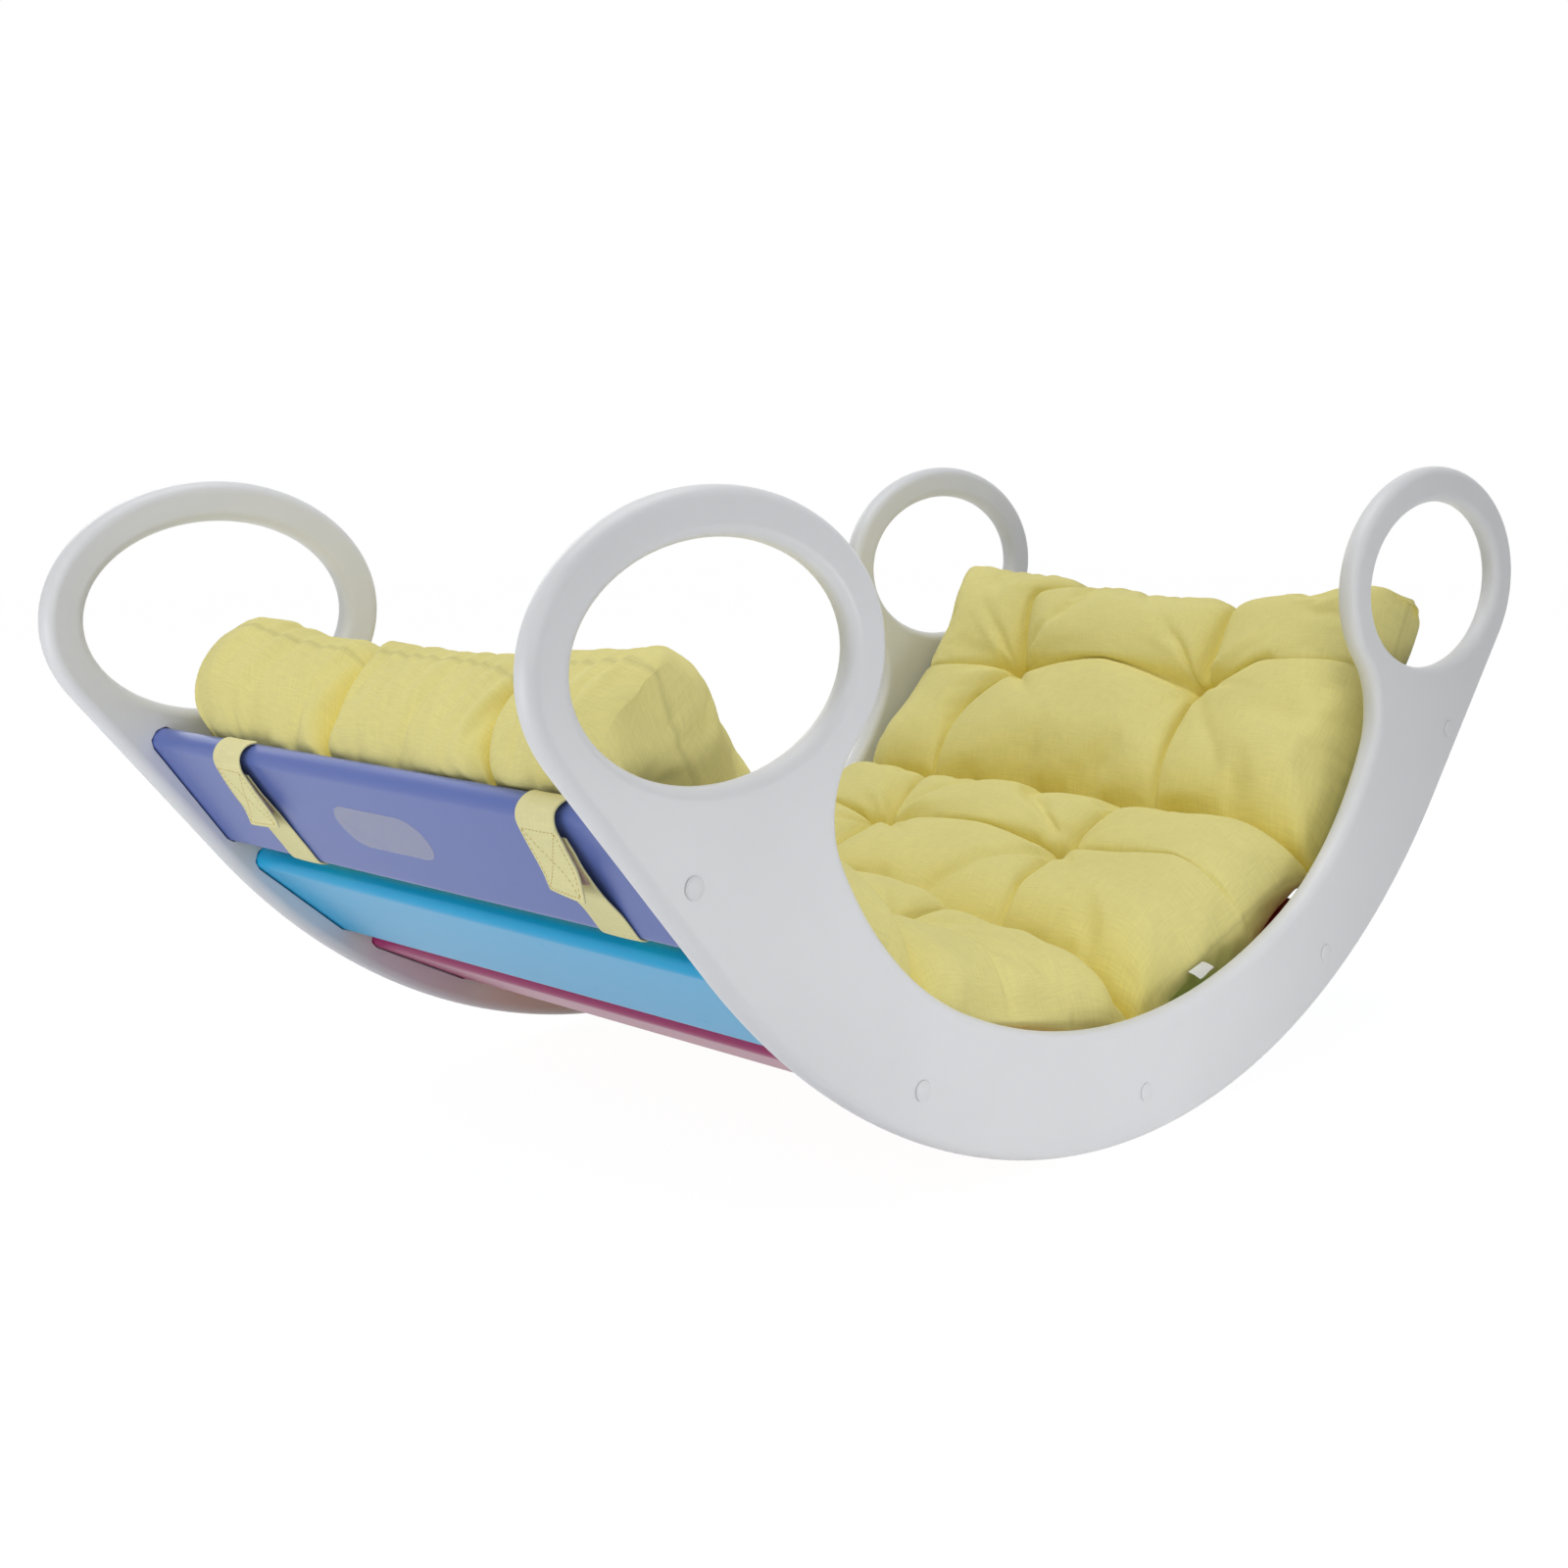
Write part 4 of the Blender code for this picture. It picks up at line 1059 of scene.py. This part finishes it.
class TapeLine:
    """A tape's middle surface beside a top slat, by distance along it and share across it."""

    def __init__(self, number, path, middle, width):
        stations = [Vector((*spot, *spot) if len(spot) == 2 else spot) / 1000 for spot in path]
        self.line, self.length = smooth_line(stations, TAPE_STEP)
        self.middle, self.width = middle, width
        self.place, self.side = slat_place(number), 1 if number == 9 else -1

    def beside(self, up, y, out):
        """Places a point up from the slat's middle line and out from its middle plane."""
        return self.place @ Vector((self.side * up, y, -out))

    def row(self, along):
        share = min(max(along / self.length, 0), 1) * (len(self.line) - 1)
        at = min(int(share), len(self.line) - 2)
        return self.line[at].lerp(self.line[at + 1], share - at)

    def spot(self, along, across):
        rear_up, rear_out, front_up, front_out = self.row(along)
        share = (1 + across) / 2
        up = front_up + (rear_up - front_up) * share
        out = front_out + (rear_out - front_out) * share + BOW * (1 - across ** 2)
        wander = WANDER * noise.noise(Vector((along * 60, self.middle * 50, self.side)))
        return self.beside(up, self.middle + across * self.width / 2 + wander, out)

    def outward(self, along, across):
        step = 0.0005
        run = self.spot(along + step, across) - self.spot(along - step, across)
        side = self.spot(along, across + 0.02) - self.spot(along, across - 0.02)
        normal = run.cross(side).normalized()
        row = self.row(along)
        facing = (0, 0, 1) if row[1] + row[3] > OVER_EDGE else (row[0], 0, row[1])
        away = self.beside(*facing) - self.beside(0, 0, 0)
        return normal if normal.dot(away) > 0 else -normal

    def distance_to(self, up):
        """How far along its outer run the tape passes a height over the slat's middle line."""
        marks = [self.length * i / LINE_MARKS for i in range(LINE_MARKS + 1)]
        rows = [(mark, self.row(mark)) for mark in marks]
        outer = [(mark, row) for mark, row in rows if row[1] + row[3] > OUTER_RUN]
        return min(outer, key=lambda pair: abs((pair[1][0] + pair[1][2]) / 2 - up))[0]


def tape(name, material, line, cloth, body, span=None, off=0.0, width=None):
    """A strip of cloth on a tape's line, or over a span of it and a little way off it."""
    start, stop = span or (0, line.length)
    reach = (width or line.width) / line.width
    rows = max(round((stop - start) / TAPE_STEP), 4)
    bm = bmesh.new()
    bmesh.ops.create_grid(bm, x_segments=rows, y_segments=TAPE_COLUMNS, size=1)
    laid_out(bm, lambda spot: (start + (stop - start) * (1 + spot.x) / 2, spot.y * reach * line.width / 2))
    hem = bm.verts.layers.float.new("seam")
    for vert in bm.verts:
        u, v, level = vert.co
        along = start + (stop - start) * (1 + u) / 2
        vert[hem] = max(abs(v) * HEM_SLOPE - HEM_START, 0)
        vert.co = line.spot(along, v * reach) + off * line.outward(along, v * reach)
    piece = shown(name, bm, material, None)
    thickened(piece, cloth)
    if body:
        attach(piece, body)
    return piece


def stitching(name, line, runs):
    """Rows of stitches on a strap, each run from one place to another by distance and share."""
    bm = bmesh.new()
    bm.verts.layers.float.new("seam")
    for start, stop in runs:
        long = Vector(((stop[0] - start[0]), (stop[1] - start[1]) * line.width / 2)).length
        count = round(long / STITCH_PITCH)
        for i in range(count):
            share = (i + 0.5) / count
            along, across = (a + (b - a) * share for a, b in zip(start, stop))
            on, further = (
                line.spot(start[0] + (stop[0] - start[0]) * s, start[1] + (stop[1] - start[1]) * s)
                for s in (share, share + 0.01)
            )
            up = line.outward(along, across)
            run = (further - on).normalized()
            turn = Matrix((run, up.cross(run), up)).transposed().to_4x4()
            at = Matrix.Translation(on + up * STITCH_LIFT) @ turn @ Matrix.Diagonal((*STITCH_SIZE, 1))
            bmesh.ops.create_icosphere(bm, subdivisions=1, radius=1, matrix=at)
    laid_out(bm, lambda spot: spot.xy)
    return shown(name, bm, THREAD, None)


for side, number in (("left", 1), ("right", 9)):
    for word in ("front", "rear"):
        where = f"{side}_{word}"
        line = TapeLine(number, STRAP_PATHS[word], STRAP_MIDDLE[word], STRAP_WIDTH)
        strap = tape(f"strap_{where}", STRAP_COTTON_PAINTED_PALER, line, STRAP_CLOTH, None)
        top = line.distance_to(STITCH_TOP)
        low = line.length - STITCH_INSET
        wide = 1 - 2 * STITCH_INSET / STRAP_WIDTH
        corners = [(top, wide), (top, -wide), (low, -wide), (low, wide)]
        runs = list(zip(corners, corners[1:] + corners[:1]))
        runs += [(corners[0], corners[2]), (corners[1], corners[3])]
        threads = stitching(f"stitching_{where}", line, runs)
        hook_span = [line.distance_to(up) for up in HOOK_SPAN]
        hook = tape(
            f"hook_strip_{where}", HOOK_TAPE, line, TAPE_CLOTH, f"flap_{where}",
            span=hook_span, off=HOOK_LIFT, width=HOOK_WIDTH,
        )
        below = TapeLine(number, TAIL_PATHS[word], TAIL_MIDDLE[word], STRAP_WIDTH)
        tail = tape(f"tail_{where}", STRAP_COTTON_PAINTED_PALER, below, TAIL_CLOTH, "arch")
        loop_span = [below.distance_to(up) for up in LOOP_SPAN]
        patch = tape(
            f"loop_patch_{where}", LOOP_TAPE, below, TAPE_CLOTH, "arch",
            span=loop_span, off=LOOP_LIFT, width=HOOK_WIDTH,
        )
        for piece in (strap, threads):
            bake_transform(piece)
        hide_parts(f"strap_root_{where}", f"strap_flap_{where}")
        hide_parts(f"hook_tape_{where}")
        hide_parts(f"strap_tail_{where}")
        hook_length, loop_length = hook_span[1] - hook_span[0], loop_span[1] - loop_span[0]

# Care tag. A short woven tag in the front side of the third pad, curled by its own stiffness.
TAG_ACROSS = 0.011
TAG_CLOTH = 0.0005
TAG_CURL = 0.0035
TAG_BOW = 0.0008


def tag_line(share):
    """The tag's run out of the seam: out and bending down."""
    return Vector((0, -TAG_ACROSS * share, -TAG_CURL * share * share))


low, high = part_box("care_tag")
tag_root = Vector(((low[0] + high[0]) / 2, high[1], (low[2] + high[2]) / 2))
tag_lean = angle_of(tag_root)
tag_long = (high[0] - low[0]) / math.cos(tag_lean)
bm = bmesh.new()
bmesh.ops.create_grid(bm, x_segments=10, y_segments=8, size=1)
laid_out(bm, lambda spot: (spot.x * tag_long / 2, spot.y * TAG_ACROSS / 2))
bm.verts.layers.float.new("seam")
for vert in bm.verts:
    u, v, level = vert.co
    bow = TAG_BOW * math.sin(2.4 * u) * (1 - v) / 2
    vert.co = tag_line((1 - v) / 2) + Vector((u * tag_long / 2, 0, bow))
bm.transform(Matrix.Translation(tag_root) @ Matrix.Rotation(-tag_lean, 4, "Y"))
tag = shown("care_label", bm, cotton("tag_cloth", (0.86, 0.86, 0.84)), "arch")
thickened(tag, TAG_CLOTH)
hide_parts("care_tag")

# Stage: a white floor without an end, a wide soft lamp overhead, weaker ones in front at left and
# behind, and two low ones for the light that the studio floor throws back.
FLOOR_HALF = 6.0
floor_paint = bpy.data.materials.new("studio_white")
floor_paint.use_nodes = True
floor_tree = floor_paint.node_tree
floor_shader = floor_tree.nodes["Principled BSDF"]
floor_shader.inputs["Base Color"].default_value = (0.86, 0.86, 0.86, 1)
floor_shader.inputs["Roughness"].default_value = 0.9
glow = node(floor_tree, "ShaderNodeEmission", {"Color": (1, 1, 1, 1), "Strength": 1.08})
rays = node(floor_tree, "ShaderNodeLightPath")
seen = calculated(
    floor_tree, "Math", "MAXIMUM", rays.outputs["Is Camera Ray"], rays.outputs["Is Glossy Ray"],
)
share = calculated(floor_tree, "Math", "MULTIPLY", seen, 0.9)
blend_white = node(floor_tree, "ShaderNodeMixShader", links={0: share, 2: glow.outputs[0]})
floor_tree.links.new(floor_shader.outputs[0], blend_white.inputs[1])
floor_tree.links.new(blend_white.outputs[0], floor_tree.nodes["Material Output"].inputs["Surface"])
bm = bmesh.new()
bmesh.ops.create_grid(bm, x_segments=1, y_segments=1, size=FLOOR_HALF)
bmesh.ops.translate(bm, verts=bm.verts, vec=(0, 0, -0.0005))
floor = shown("floor", bm, floor_paint, None)

world = bpy.data.worlds.new("studio")
bpy.context.scene.world = world
world.use_nodes = True
sky = world.node_tree
sky.nodes.clear()
fill = node(sky, "ShaderNodeBackground", {"Color": (0.95, 0.97, 1.0, 1), "Strength": 0.20})
white = node(sky, "ShaderNodeBackground", {"Color": (1, 1, 1, 1), "Strength": 1.0})
sky_rays = node(sky, "ShaderNodeLightPath").outputs
sky_glossy = calculated(
    sky, "Math", "MAXIMUM", sky_rays["Is Glossy Ray"], sky_rays["Is Transmission Ray"],
)
sky_seen = calculated(sky, "Math", "MAXIMUM", sky_rays["Is Camera Ray"], sky_glossy)
sky_mix = node(
    sky, "ShaderNodeMixShader", links={0: sky_seen, 1: fill.outputs[0], 2: white.outputs[0]},
)
node(sky, "ShaderNodeOutputWorld", links={"Surface": sky_mix.outputs[0]})


def lamp(name, place, target, size, power):
    light = bpy.data.lights.new(name, "AREA")
    light.shape = "DISK"
    light.size = size
    light.energy = power
    made = bpy.data.objects.new(name, light)
    made.location = place
    aim = (Vector(target) - Vector(place)).to_track_quat("-Z", "Y")
    made.rotation_euler = aim.to_euler()
    bpy.context.scene.collection.objects.link(made)


lamp("overhead", (0, 0, 2.4), (0, 0, 0.2), 2.0, 21)
lamp("key", (-1.9, -0.9, 2.1), (-0.1, 0, 0.25), 1.4, 5)
lamp("front_left", (-1.5, -1.7, 1.2), (0, 0, 0.2), 1.4, 7)
lamp("behind", (0.2, 2.3, 1.6), (0, 0, 0.2), 1.4, 7)
lamp("floor_bounce_left", (-1.3, 0.1, 0.06), (-0.3, 0, 0.2), 0.8, 4)
lamp("floor_bounce_front", (-0.05, -0.85, 0.03), (-0.1, -0.27, 0.06), 0.5, 1.7)

# Camera: low in front of the left end, level with the mattress and looking across it.
FOCAL_PIXELS = 2088.1
CENTRE_ROW = 771.6
PICTURE = 1600
CAMERA_PLACE = (-1.1848, -1.0964, 0.4913)
CAMERA_TURN = math.radians(45.027)
CAMERA_TILT = math.radians(-8.439)
CAMERA_ROLL = math.radians(-0.574)
camera = bpy.data.objects.new("camera", bpy.data.cameras.new("camera"))
bpy.context.scene.collection.objects.link(camera)
camera.data.sensor_width = 36
camera.data.lens = FOCAL_PIXELS * camera.data.sensor_width / PICTURE
camera.data.shift_y = (CENTRE_ROW - PICTURE / 2) / PICTURE
turn = Matrix.Rotation(-CAMERA_TURN, 4, "Z") @ Matrix.Rotation(math.pi / 2 + CAMERA_TILT, 4, "X")
camera.matrix_world = Matrix.Translation(CAMERA_PLACE) @ turn @ Matrix.Rotation(CAMERA_ROLL, 4, "Z")
bpy.context.scene.camera = camera
bpy.context.scene.view_settings.view_transform = "Standard"
